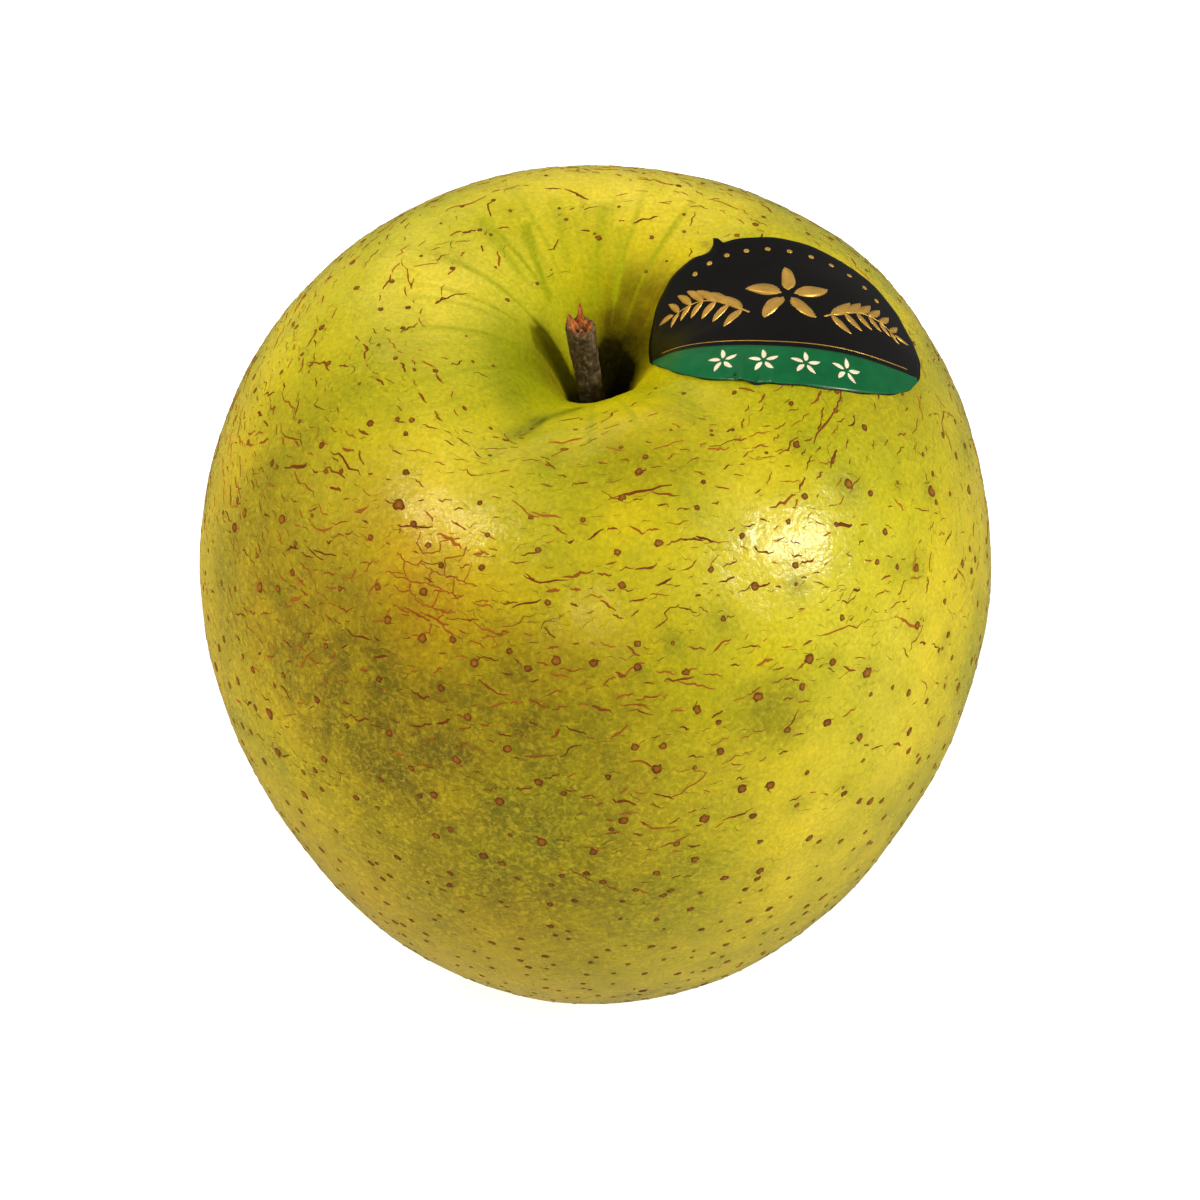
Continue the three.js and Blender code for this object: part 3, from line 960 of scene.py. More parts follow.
@dataclass
class CorkyDots:
    """Corky pores: small low discs with a raised rim and a sunken middle, sparse on the body,
    small and close near the base. Bold ones are given by q, azimuth and radius."""

    form: AppleForm
    seed: int = 11
    sides: int = 12
    body_gap: float = 5.4
    base_gap: float = 3.1
    crown_gap: float = 4.8
    body_radius: float = 0.43
    base_radius: float = 0.3
    bold_gap: float = 2.2
    first_ring: float = -9.0
    last_ring: float = 4.0
    jitter: float = 0.45
    rise: float = 0.045
    sink: float = 0.03
    bold: tuple[tuple[float, float, float], ...] = (
        (24.5, 243.5, 0.54),
        (25.5, 252, 0.52),
        (24, 264, 0.56),
        (12.4, 281, 0.52),
        (16.3, 274, 0.46),
        (21.5, 234, 0.44),
        (30.2, 293, 0.62),
        (33.5, 279, 0.5),
        (30, 284, 0.5),
        (36.5, 251, 0.54),
        (36, 241, 0.5),
        (7.6, 317, 0.5),
    )

    def places(self, rng: np.random.Generator) -> tuple[Array, Array, Array]:
        """Strews the dots in rings, a little under a mean gap apart, with nearly half a gap of jitter.

        Args:
            rng: the seeded random numbers.

        Returns:
            q, azimuth and radius of each dot.
        """
        steps = [self.first_ring]
        while steps[-1] < self.form.foot_q + self.last_ring:
            steps.append(steps[-1] + 0.87 * float(self.gap(np.array(steps[-1]))))
        ring = np.array(steps)
        each = np.maximum(3, (2 * np.pi * self.form.ring_radius(ring) / self.gap(ring)).astype(int))
        q = np.repeat(ring, each)
        gap = self.gap(q)
        turn = np.concatenate([np.arange(n) / n + rng.random() for n in each]) * 2 * np.pi
        q = q + rng.uniform(-self.jitter, self.jitter, q.size) * gap
        turn = turn + rng.uniform(-self.jitter, self.jitter, q.size) * gap / self.form.ring_radius(q)
        sizes = [0.26, 0.34, self.body_radius, 0.46, 0.34, self.base_radius]
        radius = np.interp(q, [-8, 8, 25, 45, 70, 110], sizes) * rng.lognormal(0.0, 0.24, q.size)
        kept = rng.random(q.size) < np.interp(q, [-9, 0, 12], [0.6, 0.85, 0.92])
        kept &= self.form.coarse(q, turn)[..., 2] > self.rise
        q, turn, radius = q[kept], turn[kept], radius[kept]
        bold = np.array(self.bold)
        degrees = turn_from(turn[:, None], bold[None, :, 1])
        sideways = degrees * np.pi / 180 * self.form.ring_radius(q)[:, None]
        clear = np.hypot(q[:, None] - bold[None, :, 0], sideways).min(axis=1) >= self.bold_gap
        return (
            np.concatenate([q[clear], bold[:, 0]]),
            np.concatenate([turn[clear], np.radians(bold[:, 1])]),
            np.concatenate([radius[clear], bold[:, 2]]),
        )

    def gap(self, q: Array) -> Array:
        """Returns the mean distance between dots at distances q from the lip."""
        gaps = [self.crown_gap, 5.2, self.body_gap, 4.4, 3.4, self.base_gap]
        return np.interp(q, [-9, 10, 30, 50, 75, 110], gaps)

    def build(self) -> Piece:
        """Makes the dots: for each a crest ring at two thirds of its radius and an edge under the skin."""
        rng = np.random.default_rng(self.seed)
        q0, azimuth0, radius = (values[:, None, None] for values in self.places(rng))
        count = q0.shape[0]
        angle = circle(self.sides)[None, None, :]
        wobble = 1 + 0.13 * rng.standard_normal((count, 1, self.sides))
        share = np.array([0.3, 0.68, 1.0])[None, :, None]
        lift = np.array([0.68, 1.0, 0.0])[None, :, None] * (self.rise + self.sink) - self.sink
        out = radius * share * wobble
        ring_radius = self.form.ring_radius(q0)
        # Clockwise seen from outside runs with q before azimuth, so the rings face outwards.
        rings = self.form.skin(q0 + out * np.cos(angle), azimuth0 + out * np.sin(angle) / ring_radius, lift)
        top = self.form.skin(q0[:, 0, 0], azimuth0[:, 0, 0], 0.4 * self.rise)
        under = self.form.skin(q0[:, 0, 0], azimuth0[:, 0, 0], -3 * self.sink)
        body = closed_lofts(rings, np.stack([top, under], axis=1))
        dots = make_piece("corky_dots", body, Cork("cork_of_pores", "#562a06", "#9a651b").build())
        tone = np.broadcast_to(np.array([0.8, 0.25, 0.0])[None, :, None], rings.shape[:3]).reshape(count, -1)
        tone = np.concatenate([tone, np.full((count, 1), 0.85), np.zeros((count, 1))], axis=1)
        tone = tone * rng.uniform(0.5, 1.1, (count, 1))
        mark(dots, "tone", tone)
        return dots


@dataclass
class CrackPlan:
    """How one kind of crack is strewn and drawn, in millimetres and degrees.

    The net is the q and azimuth of the middle of a net of cracks. Bold cracks are given by q, azimuth,
    length and half width.
    """

    name: str
    seed: int
    count: int
    sections: int
    length: float
    length_spread: float
    half_width: float
    swing: float
    rise: float
    chance: Share
    finish: Cork
    string: int = 4
    gap: float = 1.0
    net: tuple[float, float] | None = None
    bold: tuple[tuple[float, float, float, float], ...] = ()


@dataclass
class Cracks:
    """Healed cracks of the skin: low corky ribbons, three-sided and tapered, that wander a little."""

    form: AppleForm
    plan: CrackPlan
    sink: float = 0.03

    def build(self) -> Piece:
        """Makes the ribbons: seeded walks of short straight steps, each with its own heading."""
        plan = self.plan
        rng = np.random.default_rng(plan.seed)
        q0, azimuth0, base = self.strings(rng)
        length = plan.length * rng.lognormal(0.0, plan.length_spread, q0.size)
        width = plan.half_width * rng.lognormal(0.0, 0.28, q0.size)
        width = width * np.clip(length / plan.length, 0.6, 1.6) ** 0.35
        if plan.bold:
            bold = np.array(plan.bold)
            q0 = np.concatenate([bold[:, 0], q0])
            azimuth0 = np.concatenate([np.radians(bold[:, 1]), azimuth0])
            length = np.concatenate([bold[:, 2], length])
            width = np.concatenate([bold[:, 3], width])
            base = np.concatenate([np.zeros(len(bold)), base])
        count = q0.size
        heading = np.radians(base[:, None] + rng.normal(0.0, plan.swing, (count, plan.sections)))
        step = (length[:, None] / plan.sections) * rng.uniform(0.5, 1.5, heading.shape)
        along = np.stack([np.sin(heading), np.cos(heading)], axis=-1) * step[..., None]
        path = np.cumsum(along, axis=1)
        path = path - path.mean(axis=1, keepdims=True)
        share = (np.arange(plan.sections) + 0.5) / plan.sections
        thick = width[:, None] * np.sin(np.pi * share) ** 0.6 * rng.uniform(0.65, 1.35, heading.shape)
        place = partial(self.on_skin, q0, azimuth0)
        bodies = [closed_lofts(*ribbon(path, thick, plan.rise, self.sink, place))]
        tone = [np.repeat(rng.random(count) ** 1.3, plan.sections * 3 + 2)]
        if plan.net:
            bodies.append(self.network(rng, *plan.net))
            tone.append(np.full(len(bodies[1][0]), 0.7))
        piece = make_piece(plan.name, joined(bodies), plan.finish.build())
        mark(piece, "tone", np.concatenate(tone))
        return piece

    def strings(self, rng: np.random.Generator) -> tuple[Array, Array, Array]:
        """Strews strings of cracks that follow one another along one heading.

        Args:
            rng: the seeded random numbers.

        Returns:
            q, azimuth and heading in degrees of each crack.
        """
        plan = self.plan
        q, azimuth = scatter(self.form, rng, plan.count // plan.string, plan.chance)
        heading = along_the_lip(q, azimuth, rng)
        place = np.arange(plan.string) - (plan.string - 1) / 2
        along = (place[None, :] + rng.uniform(-0.35, 0.35, (q.size, plan.string))) * plan.length * 1.7
        across = rng.normal(0.0, 0.45, along.shape)
        slope = np.radians(heading)[:, None]
        ring_radius = np.maximum(self.form.ring_radius(q), 4.0)[:, None]
        new_q = q[:, None] + along * np.sin(slope) + across * np.cos(slope)
        new_azimuth = azimuth[:, None] + (along * np.cos(slope) - across * np.sin(slope)) / ring_radius
        own = heading[:, None] + rng.normal(0.0, 12.0, along.shape)
        kept = self.apart(new_q.ravel(), new_azimuth.ravel())
        return new_q.ravel()[kept], new_azimuth.ravel()[kept], own.ravel()[kept]

    def apart(self, q: Array, azimuth: Array) -> list[int]:
        """Returns the numbers of the places that keep clear of all kept before them."""
        spots = self.form.coarse(q, azimuth)
        kept: list[int] = []
        for index, spot in enumerate(spots):
            if not kept or np.linalg.norm(spots[kept] - spot, axis=-1).min() > self.plan.gap:
                kept.append(index)
        return kept

    def network(self, rng: np.random.Generator, q: float, azimuth: float) -> Body:
        """Makes a net of cracks like dried mud round one place.

        The net is a jittered honeycomb: in each row a zigzag, and a short crack down from each low
        corner. An edge stays with a chance that falls off with its distance from the middle.

        Args:
            rng: the seeded random numbers.
            q: distance of its middle from the lip.
            azimuth: azimuth of its middle, in degrees.

        Returns:
            Vertices and faces.
        """
        wide, high, rows, corners = 1.35, 1.7, 8, 13
        row, corner = np.meshgrid(np.arange(rows), np.arange(corners), indexing="ij")
        low = (row + corner) % 2
        down = (row - rows / 2) * high + 0.34 * low + rng.normal(0.0, 0.28, row.shape)
        across = (corner - corners / 2) * wide + rng.normal(0.0, 0.3, row.shape)
        node = np.stack([down, across], axis=-1)
        sideways = np.stack([node[:, :-1].reshape(-1, 2), node[:, 1:].reshape(-1, 2)], axis=1)
        below = low[:-1].astype(bool)
        downward = np.stack([node[:-1][below], node[1:][below]], axis=1)
        edges = np.concatenate([sideways, downward])
        middle = edges.mean(axis=1)
        edges = edges[rng.random(len(edges)) < 0.95 * bell(middle[:, 0], 5.0) * bell(middle[:, 1], 5.6)]
        t = np.linspace(0.0, 1.0, 6)[None, :, None]
        path = edges[:, :1] * (1 - t) + edges[:, 1:] * t
        path = path + rng.normal(0.0, 0.1, path.shape) * np.sin(np.pi * t)
        thick = 0.15 * rng.uniform(0.6, 1.3, path.shape[:2])
        start = np.full(len(edges), q)
        turn = np.full(len(edges), np.radians(azimuth))
        return closed_lofts(*ribbon(path, thick, 0.03, self.sink, partial(self.on_skin, start, turn)))

    def on_skin(self, q0: Array, azimuth0: Array, down: Array, across: Array, lift: Array) -> Array:
        """Returns points at distances down and across from each crack's middle."""
        spare = (slice(None),) + (None,) * (down.ndim - 1)
        start, turn = q0[spare], azimuth0[spare]
        q = np.clip(start + down, self.form.throat_q, self.form.basin_q)
        return self.form.skin(q, turn + across / np.maximum(self.form.ring_radius(start), 2.0), lift)


def ribbon(path: Array, half_width: Array, rise: float, sink: float, place: Place) -> tuple[Array, Array]:
    """Lays three-sided ribbons along paths on a surface.

    Each section has an edge sunk on the right of the path, a raised crest, and an edge sunk on its
    left. The left of a step (d, s) is (-s, d).

    Args:
        path: middle points by ribbon, section and the two surface directions.
        half_width: half widths by ribbon and section.
        rise: height of the crest over the surface.
        sink: depth of the edges under it.
        place: turns the two surface lengths and a lift to points.

    Returns:
        Rings and end points for closed_lofts.
    """
    step = np.gradient(path, axis=1)
    step /= np.linalg.norm(step, axis=-1, keepdims=True) + 1e-9
    left = np.stack([-step[..., 1], step[..., 0]], axis=-1)
    side = np.array([-1.0, 0.0, 1.0])[None, None, :, None]
    spots = path[:, :, None, :] + side * (half_width[..., None] * left)[:, :, None, :]
    lift = np.array([-sink, rise, -sink])[None, None, :]
    rings = place(spots[..., 0], spots[..., 1], np.broadcast_to(lift, spots.shape[:3]))
    first = path[:, 0] - step[:, 0] * half_width[:, :1]
    last = path[:, -1] + step[:, -1] * half_width[:, -1:]
    ends = np.stack([first, last], axis=1)
    tips = place(ends[..., 0], ends[..., 1], np.full(ends.shape[:2], -sink))
    return rings, tips


# Stem and calyx


@dataclass
class Stem:
    """The woody stalk: ridged bark, leaning, with a broken top that two splinters stick out of.

    Each splinter has a height, an azimuth and a spread in degrees.
    """

    form: AppleForm
    radius: float = 1.45
    flare: float = 0.2
    top_z: float = 84.2
    lean: float = 0.13
    root_depth: float = 2.0
    splinters: tuple[tuple[float, float, float], ...] = ((2.1, 92, 13), (1.1, 160, 24))
    columns: int = 96

    def build(self) -> Piece:
        """Makes the stem: rings from the crater's middle out over the torn rim and down to the root."""
        top, rim = self.top_z, self.radius + self.flare
        rho = np.array([0.12, 0.35, 0.6, 0.72, 0.95, 1.15, 1.38, 1.55, rim])
        z = top + np.array([-0.5, -1.0, -0.95, -0.55, -0.3, -0.2, 0.0, -0.1, -0.45])
        torn = np.array([1.0, 0.0, 0.1, 1.0, 1.0, 0.85, 0.1, 0.0, 0.0])
        rise = np.array([0.0, 0.0, 0.1, 0.25, 0.7, 1.0, 0.9, 0.5, 0.15])
        down = np.linspace(top - 0.8, self.form.throat_z - self.root_depth, 64)
        share = (down - self.form.throat_z) / (top - self.form.throat_z)
        thickness = [1.0, 1.0, 0.97, 0.98, 1.06, 1.14]
        shaft = self.radius * np.interp(share, [-0.1, 0.0, 0.25, 0.6, 0.85, 1.0], thickness)
        rho = np.concatenate([rho, shaft])[:, None]
        z = np.concatenate([z, down])[:, None]
        torn = np.concatenate([torn, np.zeros(down.size)])[:, None]
        rise = np.concatenate([rise, np.zeros(down.size)])[:, None]
        azimuth = circle(self.columns)[None, :]
        above = np.maximum(0.0, z - self.form.throat_z)
        splinters = sum(height * bell(turn_from(azimuth, at), wide) for height, at, wide in self.splinters)
        jag = 0.1 * np.sin(5 * azimuth + 0.7) + 0.09 * np.sin(11 * azimuth + 2.1)
        jag = jag + 0.07 * np.sin(23 * azimuth)
        ridges = (
            0.045 * np.sin(3 * azimuth + 0.4 * above)
            + 0.03 * np.sin(7 * azimuth - 0.3 * above + 1.0)
            + 0.022 * np.sin(13 * azimuth + 0.9 * above) * np.cos(1.7 * above)
            + 0.016 * np.sin(4 * azimuth + 3.1 * above + 0.5)
            + 0.012 * np.sin(21 * azimuth + 2.3 * np.sin(1.3 * above))
        )
        ridges = ridges * ramp(above, 0.0, 3.0) * ramp(rho, 0.0, self.radius) ** 2
        points = polar(rho * (1 + ridges), azimuth, z + rise * (splinters + jag))
        points[..., 0] -= self.lean * above
        rings = self.form.lopsided(points)
        stem = make_piece("stem_bark", closed_loft(rings), StemWood().build())
        amount = np.broadcast_to(torn, rings.shape[:2]) + 0.35 * (jag + 0.1) * (rise > 0.1)
        amount = amount + np.clip(rise * (splinters - 0.5), 0.0, 1.0)
        mark(stem, "torn", np.concatenate([np.clip(amount, 0.0, 1.0).ravel(), [1.0, 0.0]]))
        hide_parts("stem")
        return stem


@dataclass
class Calyx:
    """The dried end of the flower in the basin: a cup, five sepals that curl outwards, and stamens."""

    form: AppleForm
    sepals: int = 5
    stamens: int = 16
    ring_radius: float = 2.5
    top_z: float = 7.2
    tip_z: float = 3.7
    stamen_seed: int = 5

    def build(self) -> Piece:
        """Makes the cup, the sepals and the stamens as closed bodies of one piece."""
        points, faces = joined([self.cup(), self.sepal_sheets(), self.stamen_tubes()])
        body = (self.form.lopsided(points), faces)
        calyx = make_piece("calyx_dried", body, DriedSepal().build())
        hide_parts("calyx")
        return calyx

    def cup(self) -> Body:
        """Returns the cup: a low ring whose rows run from its plug's top down the outside and up inside."""
        rho = np.array([2.0, 2.05, 2.3, 2.9, 2.75, 2.2, 1.5, 0.6])[:, None]
        z = np.array([10.7, 8.3, 8.1, 7.6, 6.7, 6.3, 7.1, 7.3])[:, None]
        turn = circle(60)[None, :]
        wave = 1 + 0.05 * np.sin(5 * turn) + 0.03 * np.sin(17 * turn)
        return closed_loft(polar(rho * wave, turn, z + 0.08 * np.sin(11 * turn)))

    def sepal_sheets(self) -> Body:
        """Returns the sepals: thin closed sheets, widest near the base, that hang and curl outwards."""
        turn0 = circle(self.sepals)[:, None]
        t = np.linspace(0.0, 1.0, 14)[None, :]
        half = 1.15 * np.sin(np.pi * (0.22 + 0.78 * t)) ** 0.8 + 0.05
        out = self.ring_radius + 0.1 + 0.22 * np.sin(1.2 * np.pi * t) + 0.75 * t**3
        z = self.top_z - (self.top_z - self.tip_z) * np.sin(0.5 * np.pi * t)
        twist = 0.0625 * np.sin(2.7 * t + turn0 * 3)
        angle = np.array([-1.0, -0.5, 0.0, 0.5, 1.0, 0.5, 0.0, -0.5])[None, None, :]
        inner = np.array([0, 1, 1, 1, 0, -1, -1, -1])[None, None, :]
        side = half[..., None] * angle
        cupped = out[..., None] - 0.28 * angle**2 + 0.09 * inner
        spin = (turn0 + twist)[..., None] + side / np.maximum(out[..., None], 1.0)
        rings = polar(cupped, spin, z[..., None])[:, :, ::-1]
        return closed_lofts(rings, rings[:, [0, -1]].mean(axis=2))

    def stamen_tubes(self) -> Body:
        """Returns the stamens: thin tapered threads that hang from the cup and bend to all sides."""
        rng = np.random.default_rng(self.stamen_seed)
        turn0 = rng.random(self.stamens)[:, None] * 2 * np.pi
        start = rng.uniform(0.3, 1.5, self.stamens)[:, None]
        t = np.linspace(0.0, 1.0, 9)[None, :]
        reach = rng.uniform(1.4, 2.6, self.stamens)[:, None]
        out = start + 0.5 * t**2 * rng.uniform(-1, 1, self.stamens)[:, None]
        centre = polar(out, turn0 + 0.5 * t, self.top_z - reach * t)
        angle = -circle(6)[None, None, :]
        thick = (0.11 * (1 - 0.6 * t) + 0.09 * bell(t - 0.95, 0.08))[..., None]
        rings = centre[:, :, None, :] + polar(thick, angle, 0.0)[:, :, ::-1]
        return closed_lofts(rings, centre[:, [0, -1]])


# The label


@dataclass
class Label:
    """A printed oval film over the lip and the right shoulder, with a generic blossom ornament.

    Each crease has a height, then a place and a reach along the film's long axis and its short one.
    Each nick of the rim has a depth, and an angle and a spread in degrees.
    """

    form: AppleForm
    length: float = 33.8
    width: float = 24.0
    squareness: float = 1.85
    turn: float = -4.5
    shift: float = -0.35
    glue: float = 0.05
    thickness: float = 0.1
    ink_rise: float = 0.012
    foil_sink: float = 0.02
    rings: int = 26
    columns: int = 300
    leaf_bend: float = 14.0
    creases: tuple[tuple[float, ...], ...] = (
        (0.8, -8.2, 0.5, 10.4, 1.4),
        (-0.1, -9.6, 0.8, 9.0, 1.8),
        (0.32, -4.2, 0.7, -11.6, 2.4),
        (0.14, -1.2, 0.6, -11.4, 1.6),
    )
    nicks: tuple[tuple[float, float, float], ...] = (
        (-0.085, 120, 1.3),
        (0.035, 126, 5),
        (-0.02, 259, 3),
        (0.08, 251.5, 2.5),
    )

    def surface(self, a: Array, b: Array, lift: Array | float) -> Array:
        """Returns points over the film's top side.

        The label's long axis follows the profile and its short axis is straight in plan, as a film
        bends one way only. Near its lower rim it has a crease, near its upper rim a pinch.

        Args:
            a: lengths from its middle along its long axis.
            b: lengths along its short axis, away from the front.
            lift: heights over the film's top side.

        Returns:
            The points.
        """
        turn = np.radians(self.turn)
        along = self.shift + a * np.cos(turn) - b * np.sin(turn)
        across = a * np.sin(turn) + b * np.cos(turn)
        x = self.form.ring_radius(along)
        q = self.form.crown_q(np.hypot(x, across))
        creased = sum(
            height * bell(a - at_a, wide_a) * bell(b - at_b, wide_b)
            for height, at_a, wide_a, at_b, wide_b in self.creases
        )
        rim = np.clip((a / (self.length / 2)) ** 2 + (b / (self.width / 2)) ** 2 - 0.72, 0.0, 1.0)
        flutter = rim * (0.16 * np.sin(1.1 * a + 0.7) * (b < 0) + 0.1 * np.sin(0.8 * a))
        flutter = flutter + 0.1 * np.sin(5.2 * a) * bell(a + 4.0, 2.0) * bell(b + 11.4, 1.5)
        height = self.glue + self.thickness + creased + flutter + lift
        return self.form.skin(q, np.arctan2(across, x), height)

    def rim_at(self, angle: Array) -> tuple[Array, Array]:
        """Returns the rim's place by angle: a superellipse with its nicks and a faint wave."""
        c, s = np.cos(angle), np.sin(angle)
        power = 2 / self.squareness
        nicked = sum(depth * bell(turn_from(angle, at), wide) for depth, at, wide in self.nicks)
        reach = 1 - nicked + 0.004 * np.sin(23 * angle)
        a = self.length / 2 * np.sign(c) * np.abs(c) ** power * reach
        b = self.width / 2 * np.sign(s) * np.abs(s) ** power * reach
        return a, b

    def build(self) -> list[Piece]:
        """Makes the black film, the green crescent, and the gold and cream ornament."""
        rim_a, rim_b = self.rim_at(circle(self.columns)[None, :])
        share = np.linspace(0.02, 1.0, self.rings)[:, None]
        top = self.surface(rim_a * share, rim_b * share, 0.0)
        under = self.surface(rim_a * share[::-1], rim_b * share[::-1], -self.thickness)
        black = PrintedFilm("satin_film_black", "#090807", roughness=0.36)
        film = make_piece("label_film", closed_loft(np.concatenate([top, under])), black.build())
        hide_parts("label")
        return [film, self.crescent(), self.gold(), self.cream()]

    def boundary(self, a: Array) -> Array:
        """Returns the upper border of the green crescent: it runs along the lower rim, ends narrow."""
        return self.width / 2 * (-0.53 + 0.36 * (a / (self.length / 2)) ** 2)

    def crescent(self) -> Piece:
        """Makes the green crescent: ink between the lower rim and the border, a hair above the black."""
        reach, columns, inset, least = 0.955, 150, 0.992, 0.02
        a = np.linspace(-reach, reach, columns)[:, None] * self.length / 2
        oval = (1 - np.abs(a / (self.length / 2)) ** self.squareness) ** (1 / self.squareness)
        low = -self.width / 2 * oval * inset
        high = np.maximum(self.boundary(a), low + least)
        share = np.linspace(0.0, 1.0, 12)[None, :]
        spot_a, spot_b = np.broadcast_arrays(a, low + (high - low) * share)
        top = self.surface(spot_a, spot_b, self.ink_rise)
        under = self.surface(spot_a, spot_b, -self.foil_sink)[:, ::-1]
        green = PrintedFilm("satin_film_green", "#0a6038")
        body = closed_loft(np.concatenate([top, under], axis=1))
        return make_piece("label_crescent", body, green.build())

    def strokes(self, path: Array, half_width: Array, rise: float) -> Body:
        """Returns raised foil strokes along paths on the film."""
        return closed_lofts(*ribbon(path, half_width, rise, self.foil_sink, self.surface))

    def leaves(self, start: Array, heading: Array | float, length: Array | float, fullness: float) -> Body:
        """Returns leaf-shaped strokes that bend a little.

        Args:
            start: their stalk ends by leaf and axis.
            heading: the directions that they point in half way, in degrees.
            length: their lengths.
            fullness: half width over length.

        Returns:
            Vertices and faces.
        """
        heading, length = (np.broadcast_to(value, len(start))[:, None] for value in (heading, length))
        t = np.linspace(0.02, 0.98, 11)[None, :]
        bend = np.radians(heading + self.leaf_bend * (t - 0.5))
        path = start[:, None, :] + (length * t)[..., None] * np.stack([np.cos(bend), np.sin(bend)], axis=-1)
        return self.strokes(path, length * fullness * np.sin(np.pi * t**0.85) ** 0.75, 0.05)

    def blossom(self, middle: Array, gap: float, length: float, fullness: float) -> Body:
        """Returns a blossom: five leaves that start a gap away from its middle."""
        petal = np.radians(90 + 72 * np.arange(5))
        start = middle + gap * np.stack([np.cos(petal), np.sin(petal)], axis=-1)
        return self.leaves(start, np.degrees(petal), length, fullness)

    def gold(self) -> Piece:
        """Makes the foil ornament: a five-petalled blossom between two sprigs, and a fine line."""
        a = np.linspace(-0.86, 0.86, 90) * self.length / 2
        line = np.stack([a, self.boundary(a) + 0.7], axis=-1)[None]
        bodies = [self.strokes(line, np.full((1, a.size), 0.1), 0.02)]
        bodies.append(self.blossom(np.array([0.0, 2.0]), 0.75, 3.9, 0.34))
        t = np.linspace(0.0, 1.0, 30)
        knots = np.linspace(0.08, 0.9, 6)
        size = np.linspace(3.9, 2.3, 6)
        fullness = 0.22
        for side, ahead in ((-1, 180.0), (1, 0.0)):
            root = self.sprig_line(side, knots)
            end = root[-1:] + [side * 0.8, 0.0]
            bodies.append(self.strokes(self.sprig_line(side, t)[None], 0.17 * (1 - 0.5 * t)[None], 0.04))
            bodies.append(self.leaves(root, ahead + side * 50, size, fullness))
            bodies.append(self.leaves(root, ahead - side * 46, size * 0.8, fullness))
            bodies.append(self.leaves(end, ahead, 2.2, fullness))
        arc = np.radians(np.linspace(38, 142, 11))
        bodies.append(self.studs(np.stack([13.2 * np.cos(arc), 0.6 + 9.2 * np.sin(arc)], axis=-1), 0.4))
        foil = PrintedFilm("gold_foil", "#e2b65c", roughness=0.4, metallic=0.6)
        return make_piece("label_gold", joined(bodies), foil.build())

    def sprig_line(self, side: int, t: Array) -> Array:
        """Returns points along a sprig's stalk, which arches from the blossom's foot to one side."""
        return np.stack([side * (4.0 + 9.0 * t), -0.9 + 3.2 * np.sin(2.3 * t)], axis=-1)

    def studs(self, spots: Array, radius: float) -> Body:
        """Returns small raised round dots at places on the film: a crest ring and a sunken rim."""
        angle = circle(12)[None, None, :]
        out = radius * np.array([0.5, 1.0])[None, :, None]
        a, b = spots[:, 0, None, None], spots[:, 1, None, None]
        lift = np.array([0.035, -0.02])[None, :, None]
        rings = self.surface(a + out * np.cos(angle), b + out * np.sin(angle), lift)
        tips = self.surface(spots[:, :1], spots[:, 1:], np.array([[0.04, -0.03]]))
        return closed_lofts(rings, tips)

    def cream(self) -> Piece:
        """Makes a row of small cream blossoms in the crescent."""
        row = np.array([-6.6, -2.2, 2.2, 6.6])
        middles = np.stack([row, self.boundary(row) - 2.3], axis=-1)
        bodies = [self.blossom(middle, 0.3, 1.35, 0.36) for middle in middles]
        ink = PrintedFilm("cream_ink", "#e9e4cf")
        return make_piece("label_cream", joined(bodies), ink.build())


# Studio


